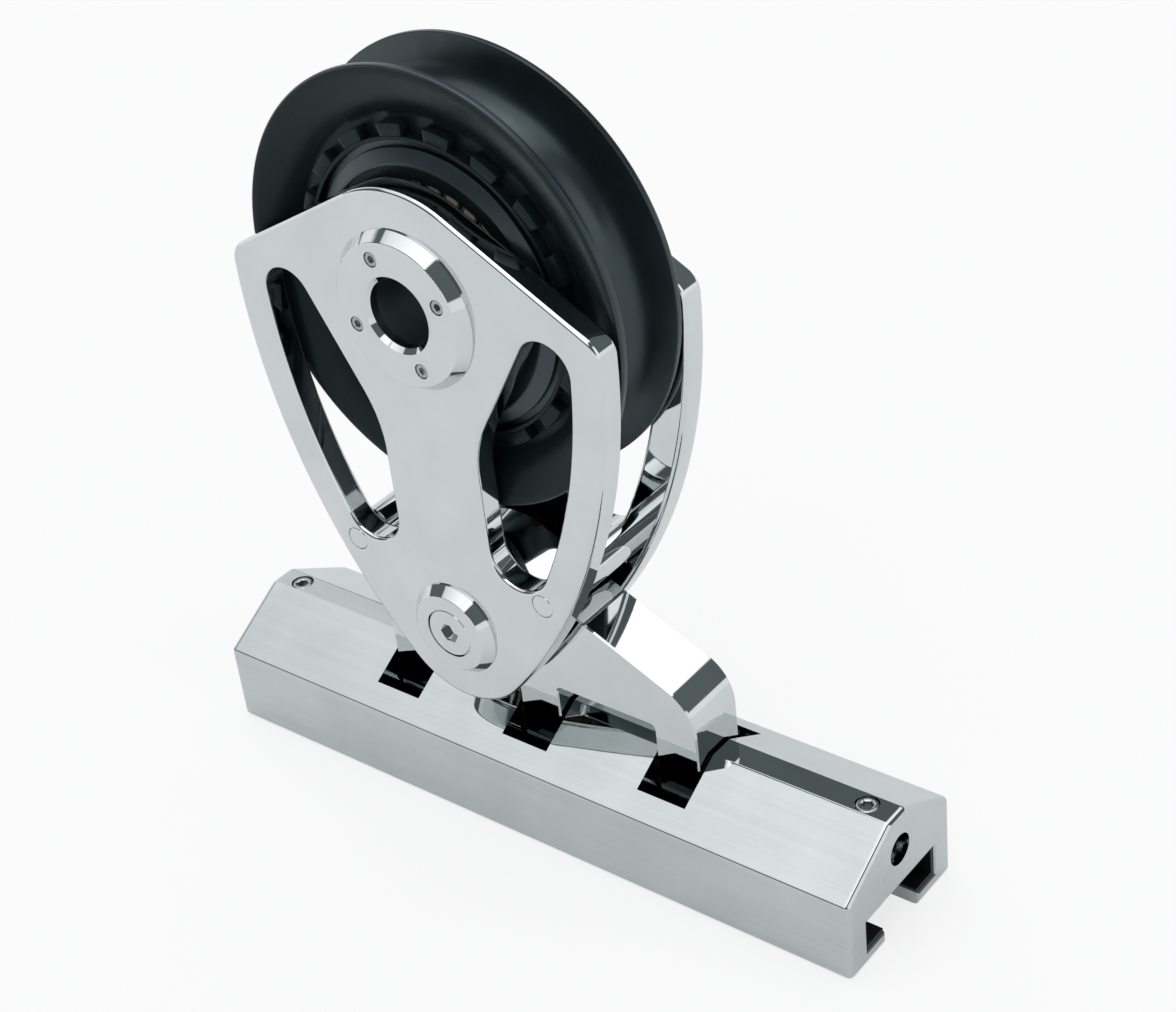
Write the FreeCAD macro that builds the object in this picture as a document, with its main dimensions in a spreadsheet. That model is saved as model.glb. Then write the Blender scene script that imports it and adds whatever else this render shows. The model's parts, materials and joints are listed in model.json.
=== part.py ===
"""Genoa car: a T-track slide carrying a swivelling bracket and a leaning sheet block, in millimetres.

X runs along the track, Y across it and Z up. The origin is the middle of the car's underside. Every size is a cell
of the sheet below; each piece is a body of the document whose sketches and features read those cells.
"""

import FreeCAD, Part
import math
import os
import re

import Sketcher

os.makedirs("parts", exist_ok=True)
DOC = FreeCAD.newDocument("GenoaCar")
SHEET = DOC.addObject("Spreadsheet::Sheet", "Sizes")

SIZES = [
    # The car: an extruded bar with a T-slot below and a flat ridge above.
    ("car_length", 288.0, "length of the car along the track"),
    ("car_width", 66.0, "width of the car over its sides"),
    ("shoulder_height", 32.8, "height of the upright sides"),
    ("ridge_height", 49.0, "height of the flat ridge"),
    ("ridge_width", 10.0, "width of the flat ridge"),
    ("end_round", 2.4, "rounding of the outer edges of each end face"),
    ("long_edge_round", 1.3, "rounding of the shoulder and ridge edges"),
    ("foot_round", 2.2, "rounding of the lower edges"),
    ("lip_height", 5.5, "thickness of the two lips under the track head"),
    ("slot_height", 13.5, "height of the slot above the lips"),
    ("slot_width", 45.0, "width of the slot for the track head"),
    ("mouth_width", 22.0, "opening between the lips"),
    ("slider_wall", 1.2, "wall of the plastic sliders"),
    ("slider_recess", 1.0, "distance of a slider from the end face"),
    ("peg_diameter", 4.0, "pegs that key a slider into the car"),
    ("peg_height", 2.0, "height of a peg"),
    ("peg_pitch", 66.0, "distance between pegs"),
    # The hinge along the car.
    ("hinge_height", 34.5, "height of the hinge pin's axis"),
    ("pin_diameter", 12.0, "diameter of the hinge pin"),
    ("notch_pitch", 61.65, "distance between the three notches"),
    ("notch_length", 20.7, "length of a notch along the car"),
    ("notch_width", 47.8, "width of a notch across the car"),
    ("notch_floor", 21.5, "height of the notch floors"),
    ("lock_inset", 12.3, "distance of the lock screws from the car's ends"),
    ("lock_head", 8.4, "head diameter of a lock screw"),
    ("lock_head_height", 4.0, "head height of a lock screw"),
    ("lock_shank", 5.5, "shank diameter of a lock screw"),
    ("lock_key", 4.0, "hexagon of a lock screw"),
    ("fit", 0.03, "radial play of a piece in its hole"),
    ("end_play", 0.1, "play between moving faces"),
    # The swivelling bracket.
    ("bracket_thickness", 24.6, "thickness of the bracket across the car"),
    ("leg_gap", 1.2, "distance of a leg from the sides of its notch"),
    ("arch_rise", 24.5, "underside of the arches above the hinge"),
    ("arch_round", 2.0, "inside corners of the arches"),
    ("haunch_rise", 26.1, "centre of the outer shoulders above the hinge"),
    ("haunch_radius", 18.5, "radius of the outer shoulders"),
    ("pivot_offset", 21.0, "distance of the pivot behind the middle of the car"),
    ("pivot_rise", 50.5, "height of the pivot above the hinge"),
    ("lug_radius", 27.0, "round head of the bracket"),
    ("bracket_edge", 0.6, "bevel of the bracket's edges"),
    ("bush_wall", 2.0, "wall of the bushes"),
    ("hinge_flange", 21.2, "flange diameter of the hinge bushes"),
    ("pivot_diameter", 16.0, "diameter of the pivot pin"),
    ("pivot_flange", 30.0, "flange diameter of the pivot bushes"),
    # The two side plates of the block.
    ("plate_gap", 35.0, "distance between the side plates"),
    ("plate_thickness", 10.3, "thickness of a side plate"),
    ("axle_rise", 129.0, "height of the axle above the pivot"),
    ("apex_radius", 43.0, "round top of a side plate"),
    ("top_slope", 29.0, "fall of the straight tops in degrees"),
    ("plate_half", 80.0, "half the greatest width of a side plate"),
    ("flank_radius", 226.0, "radius of the long flanks"),
    ("corner_radius", 9.0, "rounding of the upper corners"),
    ("rim_width", 13.3, "metal between a flank and its window"),
    ("waist_half", 21.0, "half the width of the waist between the windows"),
    ("web_slope", 30.0, "lean of the windows' inner sides in degrees"),
    ("web_radius", 42.5, "distance of the windows' inner sides from the axle"),
    ("window_top", 10.5, "upper round of a window"),
    ("window_foot", 12.5, "lower round of a window"),
    ("window_blend", 45.0, "round between waist and inner side"),
    ("plate_edge", 1.7, "rounding of the plate edges"),
    ("rod_reach", 42.7, "distance of a tie rod from the middle of the block"),
    ("rod_rise", 24.5, "height of the tie rods above the pivot"),
    ("rod_diameter", 13.0, "spacer part of a tie rod"),
    ("rod_end", 9.0, "riveted end of a tie rod"),
    ("rod_bevel", 0.4, "bevel of the rod ends"),
    # Axle, caps and pivot.
    ("axle_diameter", 32.0, "outside of the hollow axle"),
    ("axle_wall", 3.5, "wall of the hollow axle"),
    ("cap_diameter", 58.0, "foot of an axle cap"),
    ("cap_top", 52.0, "top of an axle cap"),
    ("cap_height", 4.7, "height of an axle cap"),
    ("cap_bevel", 1.6, "bevel of the cap's bore"),
    ("cap_foot", 0.6, "upright foot of the caps"),
    ("screw_circle", 20.3, "radius of the screw circle"),
    ("screw_turn", 22.1, "turn of the screw circle in degrees"),
    ("screw_head", 5.4, "head diameter of a cap screw"),
    ("screw_head_height", 2.5, "head height of a cap screw"),
    ("screw_shank", 3.0, "shank diameter of a cap screw"),
    ("screw_depth", 6.0, "depth of the cap screws in the plate"),
    ("screw_key", 2.5, "hexagon of a cap screw"),
    ("seat_play", 0.2, "depth of a screw head below the face"),
    ("pivot_cap", 36.6, "foot of a pivot cap"),
    ("pivot_cap_top", 30.4, "top of a pivot cap"),
    ("pivot_cap_height", 4.2, "height of a pivot cap"),
    ("pivot_cap_floor", 1.4, "metal under the pivot screw's head"),
    ("pivot_head", 19.0, "head diameter of a pivot screw"),
    ("pivot_shank", 10.0, "shank diameter of a pivot screw"),
    ("pivot_depth", 12.0, "depth of a pivot screw in the pin"),
    ("pivot_key", 7.0, "hexagon of a pivot screw"),
    # The sheave and its bearing.
    ("sheave_diameter", 160.0, "diameter over the rims"),
    ("sheave_width", 32.6, "width over the rims"),
    ("rim_round", 1.5, "outer rounding of the rims"),
    ("rim_break", 0.5, "inner rounding of the rims"),
    ("groove_depth", 18.0, "depth of the rope groove"),
    ("groove_radius", 12.0, "round bottom of the rope groove"),
    ("groove_slope", 13.0, "lean of the groove sides in degrees"),
    ("rim_land", 3.0, "flat of a rim beside the dished side"),
    ("dish_width", 9.0, "width of the shallow part of a dished side"),
    ("dish_depth", 2.8, "depth of the dished side at its knee"),
    ("dish_margin", 0.5, "distance of a dished side's foot inside the rope groove's bottom"),
    ("recess_floor", 7.0, "ring recess floor from the middle plane"),
    ("ring_half", 12.8, "half the width over the toothed rings"),
    ("ring_groove", 2.5, "gap between the teeth and the dished side"),
    ("tooth_depth", 4.5, "radial length of the teeth"),
    ("ring_root", 1.5, "width of the toothed ring inside its teeth"),
    ("tooth_count", 18, "teeth round each ring"),
    ("tooth_gap", 9.4, "gap between two teeth"),
    ("trench_floor", 10.0, "floor of the trench round the hub from the middle plane"),
    ("trench_width", 2.5, "width of the trench round the hub"),
    ("hub_half", 14.6, "half the width of the hub"),
    ("hub_slope", 4.5, "width of the hub's cone"),
    ("hub_rim", 1.0, "width of the hub's flat"),
    ("hub_cone", 12.2, "foot of the hub's cone from the middle plane"),
    ("race_wall", 4.0, "wall of the outer race"),
    ("race_half", 14.0, "half the width of the races"),
    ("lip_width", 1.2, "width of the lips of the races"),
    ("lip_reach", 0.7, "how far a race lip covers the rollers"),
    ("roller_diameter", 6.6, "diameter of a roller"),
    ("roller_play", 0.1, "play between rollers and races"),
    ("roller_space", 0.95, "least gap between two rollers of a row"),
    ("inner_hub", 24.0, "radius of the inner race's ends"),
    ("cage_wall", 3.6, "radial thickness of the cage"),
    ("cage_web", 4.0, "web between the two rows of rollers"),
    ("cage_play", 0.05, "radial play of a roller in the cage"),
]

for row, (alias, number, meaning) in enumerate(SIZES, start=1):
    SHEET.set("A%d" % row, meaning)
    SHEET.set("B%d" % row, repr(number))
    SHEET.setAlias("B%d" % row, alias)
DOC.recompute()
ALIASES = {alias for alias, _, _ in SIZES}
PIECES = []


def cells(text):
    """Turns a formula written with the sheet's aliases into an expression of the document."""
    return re.sub(r"[a-z][a-z_]*", lambda m: "Sizes." + m.group(0) if m.group(0) in ALIASES else m.group(0), text)


def number(text):
    """Value of a formula written with the sheet's aliases."""
    return float(SHEET.evalExpression(cells(text)))


def vector(first, second):
    """Point of a sketch."""
    return FreeCAD.Vector(first, second, 0.0)


def new_body(name, x, y, z):
    """Adds the body of one piece, labelled with the piece's name and placed by three formulas."""
    body = DOC.addObject("PartDesign::Body", name)
    body.Label = name
    body.AllowCompound = True
    for axis, formula in (("x", x), ("y", y), ("z", z)):
        body.setExpression("Placement.Base." + axis, cells(formula))
    PIECES.append(body)
    return body


def origin_feature(body, role):
    """Plane or axis of a body's own origin."""
    return [item for item in body.Origin.OriginFeatures if item.Role == role][0]


def new_sketch(body, plane, name, lift=None):
    """Adds a sketch on one of the body's origin planes, raised along the plane's normal by a formula."""
    sketch = body.newObject("Sketcher::SketchObject", name)
    sketch.AttachmentSupport = [(origin_feature(body, plane), "")]
    sketch.MapMode = "FlatFace"
    if lift:
        sketch.setExpression("AttachmentOffset.Base.z", cells(lift))
    return sketch


def bind(sketch, constraint, formula):
    """Adds a constraint and ties its value to a formula."""
    index = sketch.addConstraint(constraint)
    sketch.setExpression("Constraints[%d]" % index, cells(formula))
    return index


def fix_point(sketch, geometry, point, x, y):
    """Ties one point of a sketch to the origin by two formulas."""
    for kind, axis, formula in (("DistanceX", -2, x), ("DistanceY", -1, y)):
        if formula == "0":
            sketch.addConstraint(Sketcher.Constraint("PointOnObject", geometry, point, axis))
        else:
            bind(sketch, Sketcher.Constraint(kind, -1, 1, geometry, point, number(formula)), formula)


def add_polygon(sketch, corners):
    """Draws a closed chain of lines through corners given as pairs of formulas."""
    places = [vector(number(x), number(y)) for x, y in corners]
    count = len(corners)
    first = sketch.GeometryCount
    for index in range(count):
        sketch.addGeometry(Part.LineSegment(places[index], places[(index + 1) % count]), False)
    for index in range(count):
        following = first + (index + 1) % count
        sketch.addConstraint(Sketcher.Constraint("Coincident", first + index, 2, following, 1))
    for index, (x, y) in enumerate(corners):
        fix_point(sketch, first + index, 1, x, y)


def add_rectangle(sketch, x_low, x_high, y_low, y_high):
    """Draws a rectangle between four formulas."""
    add_polygon(sketch, [(x_low, y_low), (x_high, y_low), (x_high, y_high), (x_low, y_high)])


def add_circle(sketch, x, y, radius):
    """Draws a circle given by three formulas."""
    shape = Part.Circle(vector(number(x), number(y)), FreeCAD.Vector(0, 0, 1), number(radius))
    circle = sketch.addGeometry(shape, False)
    fix_point(sketch, circle, 3, x, y)
    bind(sketch, Sketcher.Constraint("Radius", circle, number(radius)), radius)


def add_hexagon(sketch, x, y, across):
    """Draws a hexagon round a point, given its width across the flats."""
    corners = []
    for index in range(6):
        angle = 60 * index
        corners.append((
            "%s + (%s) / sqrt(3) * cos(%d)" % (x, across, angle),
            "%s + (%s) / sqrt(3) * sin(%d)" % (y, across, angle),
        ))
    add_polygon(sketch, corners)


def add_arc(sketch, centre, radius, start, end):
    """Draws an arc counter-clockwise from one angle to another, in radians."""
    circle = Part.Circle(vector(*centre), FreeCAD.Vector(0, 0, 1), radius)
    return sketch.addGeometry(Part.ArcOfCircle(circle, start, end), False)


def add_line(sketch, start, end):
    """Draws a line between two points."""
    return sketch.addGeometry(Part.LineSegment(vector(*start), vector(*end)), False)


def join(sketch, chain):
    """Makes the members of a closed chain run into one another without a corner."""
    for index, member in enumerate(chain):
        following = chain[(index + 1) % len(chain)]
        sketch.addConstraint(Sketcher.Constraint("Tangent", member, 2, following, 1))


def add_pad(body, sketch, name, length, symmetric=False, reverse=False):
    """Thickens a sketch by a formula."""
    pad = body.newObject("PartDesign::Pad", name)
    pad.Profile = sketch
    pad.setExpression("Length", cells(length))
    pad.Reversed = reverse
    if symmetric:
        pad.SideType = "Symmetric"
    sketch.Visibility = False
    DOC.recompute()
    return pad


def add_pocket(body, sketch, name, length=None, symmetric=False, reverse=False):
    """Cuts a sketch out to a depth, or right through where no depth is given."""
    pocket = body.newObject("PartDesign::Pocket", name)
    pocket.Profile = sketch
    if length:
        pocket.setExpression("Length", cells(length))
    else:
        pocket.Type = "ThroughAll"
    pocket.Reversed = reverse
    if symmetric:
        pocket.SideType = "Symmetric"
    sketch.Visibility = False
    DOC.recompute()
    return pocket


def add_turned(body, sketch, name, kind="PartDesign::Revolution"):
    """Turns a sketch about its own horizontal axis, as metal or as a cut."""
    turned = body.newObject(kind, name)
    turned.Profile = sketch
    turned.ReferenceAxis = (sketch, ["H_Axis"])
    turned.Angle = 360.0
    sketch.Visibility = False
    DOC.recompute()
    return turned


def add_polar(body, originals, name, axis, count):
    """Repeats features round one of the body's axes."""
    pattern = body.newObject("PartDesign::PolarPattern", name)
    pattern.Originals = originals
    pattern.Axis = (origin_feature(body, axis), [""])
    pattern.Angle = 360.0
    pattern.setExpression("Occurrences", cells(count))
    body.Tip = pattern
    DOC.recompute()
    return pattern


def add_mirrored(body, originals, name, plane):
    """Repeats features on the other side of one of the body's planes."""
    mirrored = body.newObject("PartDesign::Mirrored", name)
    mirrored.Originals = originals
    mirrored.MirrorPlane = (origin_feature(body, plane), [""])
    body.Tip = mirrored
    DOC.recompute()
    return mirrored


def add_edge_feature(body, kind, name, base, wanted, size):
    """Rounds or bevels the edges of the last feature that a test picks out."""
    names = ["Edge%d" % (i + 1) for i, edge in enumerate(base.Shape.Edges) if wanted(edge)]
    feature = body.newObject("PartDesign::" + kind, name)
    feature.Base = (base, names)
    feature.setExpression("Radius" if kind == "Fillet" else "Size", cells(size))
    DOC.recompute()
    return feature


def flat_at(edge, axis, value):
    """True for an edge that lies in the plane where one coordinate has this value."""
    box = edge.BoundBox
    low, high = getattr(box, axis + "Min"), getattr(box, axis + "Max")
    return abs(low - value) < 1e-4 and abs(high - value) < 1e-4


def signed(side, formula):
    """A distance outwards from the middle plane, as a height on the upright plane facing the near side."""
    return formula if side == "near" else "-(%s)" % formula


def across(side, formula):
    """A distance outwards from the middle plane, as a coordinate across the car."""
    return "-(%s)" % formula if side == "near" else formula


# Where the moving groups sit.
PIVOT = ("-pivot_offset", "0", "hinge_height + pivot_rise")
AXLE = ("-pivot_offset", "0", "hinge_height + pivot_rise + axle_rise")
HINGE = ("0", "0", "hinge_height")
PLATE_OUT = "plate_gap / 2 + plate_thickness"
AXLE_BORE = "(axle_diameter / 2 - axle_wall)"
LOCK_REACH = "(car_length / 2 - lock_inset)"
# The radii of the sheave and of its bearing follow one another inwards from the rims.
DISH_OUTER = "(sheave_diameter / 2 - rim_land)"
DISH_KNEE = "(%s - dish_width)" % DISH_OUTER
DISH_INNER = "(sheave_diameter / 2 - groove_depth - dish_margin)"
RING_OUTER = "(%s - ring_groove)" % DISH_INNER
RING_BACK = "(%s - tooth_depth)" % RING_OUTER
RING_INNER = "(%s - ring_root)" % RING_BACK
HUB_FOOT = "(%s - trench_width)" % RING_INNER
HUB_LAND = "(%s - hub_slope)" % HUB_FOOT
RACE_OUTER = "(%s - hub_rim)" % HUB_LAND
ROLLER_PITCH = "(%s - race_wall - roller_play - roller_diameter / 2)" % RACE_OUTER
ROLLER_COUNT = "floor(2 * pi * %s / (roller_diameter + roller_space))" % ROLLER_PITCH


def make_car_body():
    """The extruded car with its slot, notches, hinge bore and lock screw holes."""
    body = new_body("car_body", "0", "0", "0")
    section = new_sketch(body, "YZ_Plane", "CarSection")
    half, slot, mouth, ridge = "car_width / 2", "slot_width / 2", "mouth_width / 2", "ridge_width / 2"
    ceiling = "lip_height + slot_height"
    right = [
        (mouth, "0"),
        (half, "0"),
        (half, "shoulder_height"),
        (ridge, "ridge_height"),
    ]
    left = [
        ("-" + ridge, "ridge_height"),
        ("-" + half, "shoulder_height"),
        ("-" + half, "0"),
        ("-" + mouth, "0"),
        ("-" + mouth, "lip_height"),
        ("-" + slot, "lip_height"),
        ("-" + slot, ceiling),
        (slot, ceiling),
        (slot, "lip_height"),
        (mouth, "lip_height"),
    ]
    add_polygon(section, right + left)
    bar = add_pad(body, section, "CarBar", "car_length", symmetric=True)

    end = number("car_length / 2")
    side = number("car_width / 2")
    slot_side = number("slot_width / 2")

    def outside_end(edge):
        if not (flat_at(edge, "X", end) or flat_at(edge, "X", -end)):
            return False
        middle = edge.BoundBox.Center
        return abs(middle.y) > side - 1e-3 or middle.z > number("shoulder_height")

    def slot_end(edge):
        if not (flat_at(edge, "X", end) or flat_at(edge, "X", -end)):
            return False
        middle = edge.BoundBox.Center
        return abs(middle.y) < slot_side + 1e-3 and 1.0 < middle.z < number(ceiling) + 1e-3

    slot_bevel = add_edge_feature(body, "Chamfer", "CarSlotBevel", bar, slot_end, "cap_foot")

    def long_top(edge):
        middle = edge.BoundBox.Center
        level = (number("shoulder_height"), number("ridge_height"))
        return edge.BoundBox.XLength > 200 and any(abs(middle.z - z) < 1e-3 for z in level)

    shoulders = add_edge_feature(body, "Fillet", "CarShoulders", slot_bevel, long_top, "long_edge_round")

    def long_foot(edge):
        middle = edge.BoundBox.Center
        return edge.BoundBox.XLength > 200 and middle.z < 1e-3 and abs(middle.y) > side - 1e-3

    feet = add_edge_feature(body, "Fillet", "CarFeet", shoulders, long_foot, "foot_round")
    add_edge_feature(body, "Fillet", "CarEnds", feet, outside_end, "end_round")

    notch = new_sketch(body, "XY_Plane", "CarNotchShape", lift="notch_floor")
    for centre in ("-notch_pitch", "0", "notch_pitch"):
        low = "%s - notch_length / 2" % centre
        high = "%s + notch_length / 2" % centre
        add_rectangle(notch, low, high, "-notch_width / 2", "notch_width / 2")
    add_pocket(body, notch, "CarNotches", reverse=True)

    bore = new_sketch(body, "YZ_Plane", "CarBoreShape")
    add_circle(bore, "0", "hinge_height", "pin_diameter / 2 + fit")
    add_pocket(body, bore, "CarBore", symmetric=True)

    centres = new_sketch(body, "XY_Plane", "LockCentres", lift="ridge_height")
    add_circle(centres, LOCK_REACH, "0", "lock_shank / 2 + fit")
    add_circle(centres, "-" + LOCK_REACH, "0", "lock_shank / 2 + fit")
    hole = body.newObject("PartDesign::Hole", "LockHoles")
    hole.Profile = centres
    centres.Visibility = False
    DOC.recompute()
    hole.setExpression("Diameter", cells("lock_shank + 2 * fit"))
    hole.DepthType = "Dimension"
    hole.DrillPoint = "Flat"
    hole.setExpression("Depth", cells("ridge_height - hinge_height"))
    hole.HoleCutType = "Counterbore"
    hole.HoleCutCustomValues = True
    hole.setExpression("HoleCutDiameter", cells("lock_head + 0.6"))
    hole.setExpression("HoleCutDepth", cells("lock_head_height + seat_play"))
    DOC.recompute()

    pegs = new_sketch(body, "XY_Plane", "PegHoleShape", lift=ceiling)
    for x in ("-3 * peg_pitch / 2", "-peg_pitch / 2", "peg_pitch / 2", "3 * peg_pitch / 2"):
        for sign in ("-", ""):
            add_circle(pegs, x, sign + "(slot_width + mouth_width) / 4", "peg_diameter / 2 + fit")
    add_pocket(body, pegs, "PegHoles", length="peg_height + end_play", reverse=True)


def make_slider(side):
    """One plastic slider: a C that lines its half of the slot, keyed by four pegs."""
    body = new_body(side + "_slider", "0", "0", "0")
    sign = "-" if side == "near" else ""
    outer, inner = sign + "slot_width / 2", sign + "mouth_width / 2"
    web = sign + "(slot_width / 2 - slider_wall)"
    top = "lip_height + slot_height"
    section = new_sketch(body, "YZ_Plane", side.title() + "SliderSection")
    corners = [
        (outer, "lip_height"),
        (inner, "lip_height"),
        (inner, "lip_height + slider_wall"),
        (web, "lip_height + slider_wall"),
        (web, top + " - slider_wall"),
        (inner, top + " - slider_wall"),
        (inner, top),
        (outer, top),
    ]
    add_polygon(section, corners)
    add_pad(body, section, side.title() + "SliderBar", "car_length - 2 * slider_recess", symmetric=True)
    pegs = new_sketch(body, "XY_Plane", side.title() + "Pegs", lift=top)
    for x in ("-3 * peg_pitch / 2", "-peg_pitch / 2", "peg_pitch / 2", "3 * peg_pitch / 2"):
        add_circle(pegs, x, sign + "(slot_width + mouth_width) / 4", "peg_diameter / 2")
    add_pad(body, pegs, side.title() + "SliderPegs", "peg_height")


def make_hinge_pin():
    """The pin along the car, held between the two lock screws."""
    body = new_body("hinge_pin", *HINGE)
    section = new_sketch(body, "YZ_Plane", "HingePinSection")
    add_circle(section, "0", "0", "pin_diameter / 2")
    length = "2 * (%s - lock_shank / 2 - end_play)" % LOCK_REACH
    pin = add_pad(body, section, "HingePinBar", length, symmetric=True)
    end = number(length) / 2
    add_edge_feature(body, "Chamfer", "HingePinEnds", pin,
                     lambda edge: flat_at(edge, "X", end) or flat_at(edge, "X", -end), "cap_foot")


def make_lock_screw(name, x):
    """A socket head screw that closes the hinge bore in front of the pin's end."""
    body = new_body(name, x, "0", "ridge_height - lock_head_height - seat_play")
    head_shape = new_sketch(body, "XY_Plane", name.title() + "HeadShape")
    add_circle(head_shape, "0", "0", "lock_head / 2")
    head = add_pad(body, head_shape, name.title() + "Head", "lock_head_height")
    top = number("lock_head_height")
    add_edge_feature(body, "Chamfer", name.title() + "Edge", head,
                     lambda edge: flat_at(edge, "Z", top), "rod_bevel")
    shank = new_sketch(body, "XY_Plane", name.title() + "ShankShape")
    add_circle(shank, "0", "0", "lock_shank / 2")
    depth = "ridge_height - lock_head_height - seat_play - hinge_height + pin_diameter / 4"
    add_pad(body, shank, name.title() + "Shank", depth, reverse=True)
    key = new_sketch(body, "XY_Plane", name.title() + "KeyShape", lift="lock_head_height")
    add_hexagon(key, "0", "0", "lock_key")
    add_pocket(body, key, name.title() + "Key", length="lock_head_height * 0.6")


def tangent_point(centre, radius, angle):
    """Point of a circle in a direction."""
    return centre[0] + radius * math.cos(angle), centre[1] + radius * math.sin(angle)


def make_bracket():
    """The swivelling bracket: three legs with round feet, two arches and a round head."""
    body = new_body("swivel_bracket", *HINGE)
    outline = new_sketch(body, "XZ_Plane", "BracketOutline")
    foot = "-bracket_thickness / 2"
    post = "notch_length / 2 - leg_gap"
    inner = "notch_pitch - notch_length / 2 + leg_gap"
    outer = "notch_pitch + notch_length / 2 - leg_gap"
    x_out, y_foot, y_arch = number(outer), number(foot), number("arch_rise")
    small, large = number("haunch_radius"), number("lug_radius")
    haunch_y = number("haunch_rise")
    head = (-number("pivot_offset"), number("pivot_rise"))
    right, left = (x_out - small, haunch_y), (small - x_out, haunch_y)

    def slope_angle(haunch, turn):
        """Direction in which a straight shoulder faces."""
        dx, dy = haunch[0] - head[0], haunch[1] - head[1]
        return math.atan2(dy, dx) + turn * math.acos((large - small) / math.hypot(dx, dy))

    rising = slope_angle(right, 1)
    falling = slope_angle(left, -1) % (2 * math.pi)
    leg_right = add_line(outline, (x_out, y_foot), (x_out, haunch_y))
    haunch_right = add_arc(outline, right, small, 0.0, rising)
    slope_right = add_line(outline, tangent_point(right, small, rising), tangent_point(head, large, rising))
    lug = add_arc(outline, head, large, rising, falling)
    slope_left = add_line(outline, tangent_point(head, large, falling), tangent_point(left, small, falling))
    haunch_left = add_arc(outline, left, small, falling, math.pi)
    leg_left = add_line(outline, (-x_out, haunch_y), (-x_out, y_foot))
    chain = [leg_right, haunch_right, slope_right, lug, slope_left, haunch_left, leg_left]
    for member, following in zip(chain, chain[1:]):
        outline.addConstraint(Sketcher.Constraint("Tangent", member, 2, following, 1))
    outline.addConstraint(Sketcher.Constraint("Vertical", leg_right))
    outline.addConstraint(Sketcher.Constraint("Vertical", leg_left))
    for haunch in (haunch_right, haunch_left):
        bind(outline, Sketcher.Constraint("Radius", haunch, small), "haunch_radius")
        bind(outline, Sketcher.Constraint("DistanceY", -1, 1, haunch, 3, haunch_y), "haunch_rise")
    bind(outline, Sketcher.Constraint("Radius", lug, large), "lug_radius")
    fix_point(outline, lug, 3, "-pivot_offset", "pivot_rise")

    feet = [
        ("-(%s)" % outer, foot),
        ("-(%s)" % inner, foot),
        ("-(%s)" % inner, "arch_rise"),
        ("-(%s)" % post, "arch_rise"),
        ("-(%s)" % post, foot),
        (post, foot),
        (post, "arch_rise"),
        (inner, "arch_rise"),
        (inner, foot),
        (outer, foot),
    ]
    places = [(number(x), number(y)) for x, y in feet]
    previous = leg_left
    for index, (start, end) in enumerate(zip(places, places[1:])):
        member = add_line(outline, start, end)
        outline.addConstraint(Sketcher.Constraint("Coincident", previous, 2, member, 1))
        fix_point(outline, member, 1, *feet[index])
        previous = member
    outline.addConstraint(Sketcher.Constraint("Coincident", previous, 2, leg_right, 1))
    fix_point(outline, previous, 2, *feet[-1])
    arch = add_pad(body, outline, "BracketArch", "bracket_thickness", symmetric=True)

    thick = number("bracket_thickness / 2")

    def inside_corner(edge):
        middle = edge.BoundBox.Center
        return edge.BoundBox.YLength > thick and abs(middle.z - y_arch) < 1e-3

    rounds = add_edge_feature(body, "Fillet", "ArchRounds", arch, inside_corner, "arch_round")

    def side_edge(edge):
        on_side = flat_at(edge, "Y", thick) or flat_at(edge, "Y", -thick)
        return on_side and edge.BoundBox.ZMax > 1.0 and edge.BoundBox.ZLength + edge.BoundBox.XLength > 0.5

    bevel = add_edge_feature(body, "Chamfer", "BracketEdges", rounds, side_edge, "bracket_edge")
    if not bevel.Shape.isValid():
        raise RuntimeError("the bracket's edges cannot be bevelled")

    corners = new_sketch(body, "YZ_Plane", "RoundFeetShape")
    radius = number("bracket_thickness / 2")
    arc = add_arc(corners, (0.0, 0.0), radius, math.pi, 2 * math.pi)
    far = radius + 2
    wire = [(radius, 0.0), (far, 0.0), (far, -far), (-far, -far), (-far, 0.0), (-radius, 0.0)]
    previous = arc
    for start, end in zip(wire, wire[1:]):
        member = add_line(corners, start, end)
        corners.addConstraint(Sketcher.Constraint("Coincident", previous, 2, member, 1))
        previous = member
    corners.addConstraint(Sketcher.Constraint("Coincident", previous, 2, arc, 1))
    corners.addConstraint(Sketcher.Constraint("Coincident", arc, 3, -1, 1))
    bind(corners, Sketcher.Constraint("Radius", arc, radius), "bracket_thickness / 2")
    corners.addConstraint(Sketcher.Constraint("PointOnObject", arc, 1, -1))
    corners.addConstraint(Sketcher.Constraint("PointOnObject", arc, 2, -1))
    fix_point(corners, arc + 1, 2, "bracket_thickness / 2 + 2", "0")
    fix_point(corners, arc + 2, 2, "bracket_thickness / 2 + 2", "-bracket_thickness / 2 - 2")
    fix_point(corners, arc + 3, 2, "-bracket_thickness / 2 - 2", "-bracket_thickness / 2 - 2")
    fix_point(corners, arc + 4, 2, "-bracket_thickness / 2 - 2", "0")
    add_pocket(body, corners, "RoundFeet", symmetric=True)

    bore = new_sketch(body, "YZ_Plane", "HingeBoreShape")
    add_circle(bore, "0", "0", "pin_diameter / 2 + bush_wall + fit")
    add_pocket(body, bore, "HingeBore", symmetric=True)
    pivot = new_sketch(body, "XZ_Plane", "PivotBoreShape")
    add_circle(pivot, "-pivot_offset", "pivot_rise", "pivot_diameter / 2 + bush_wall + fit")
    add_pocket(body, pivot, "PivotBore", symmetric=True)


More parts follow.
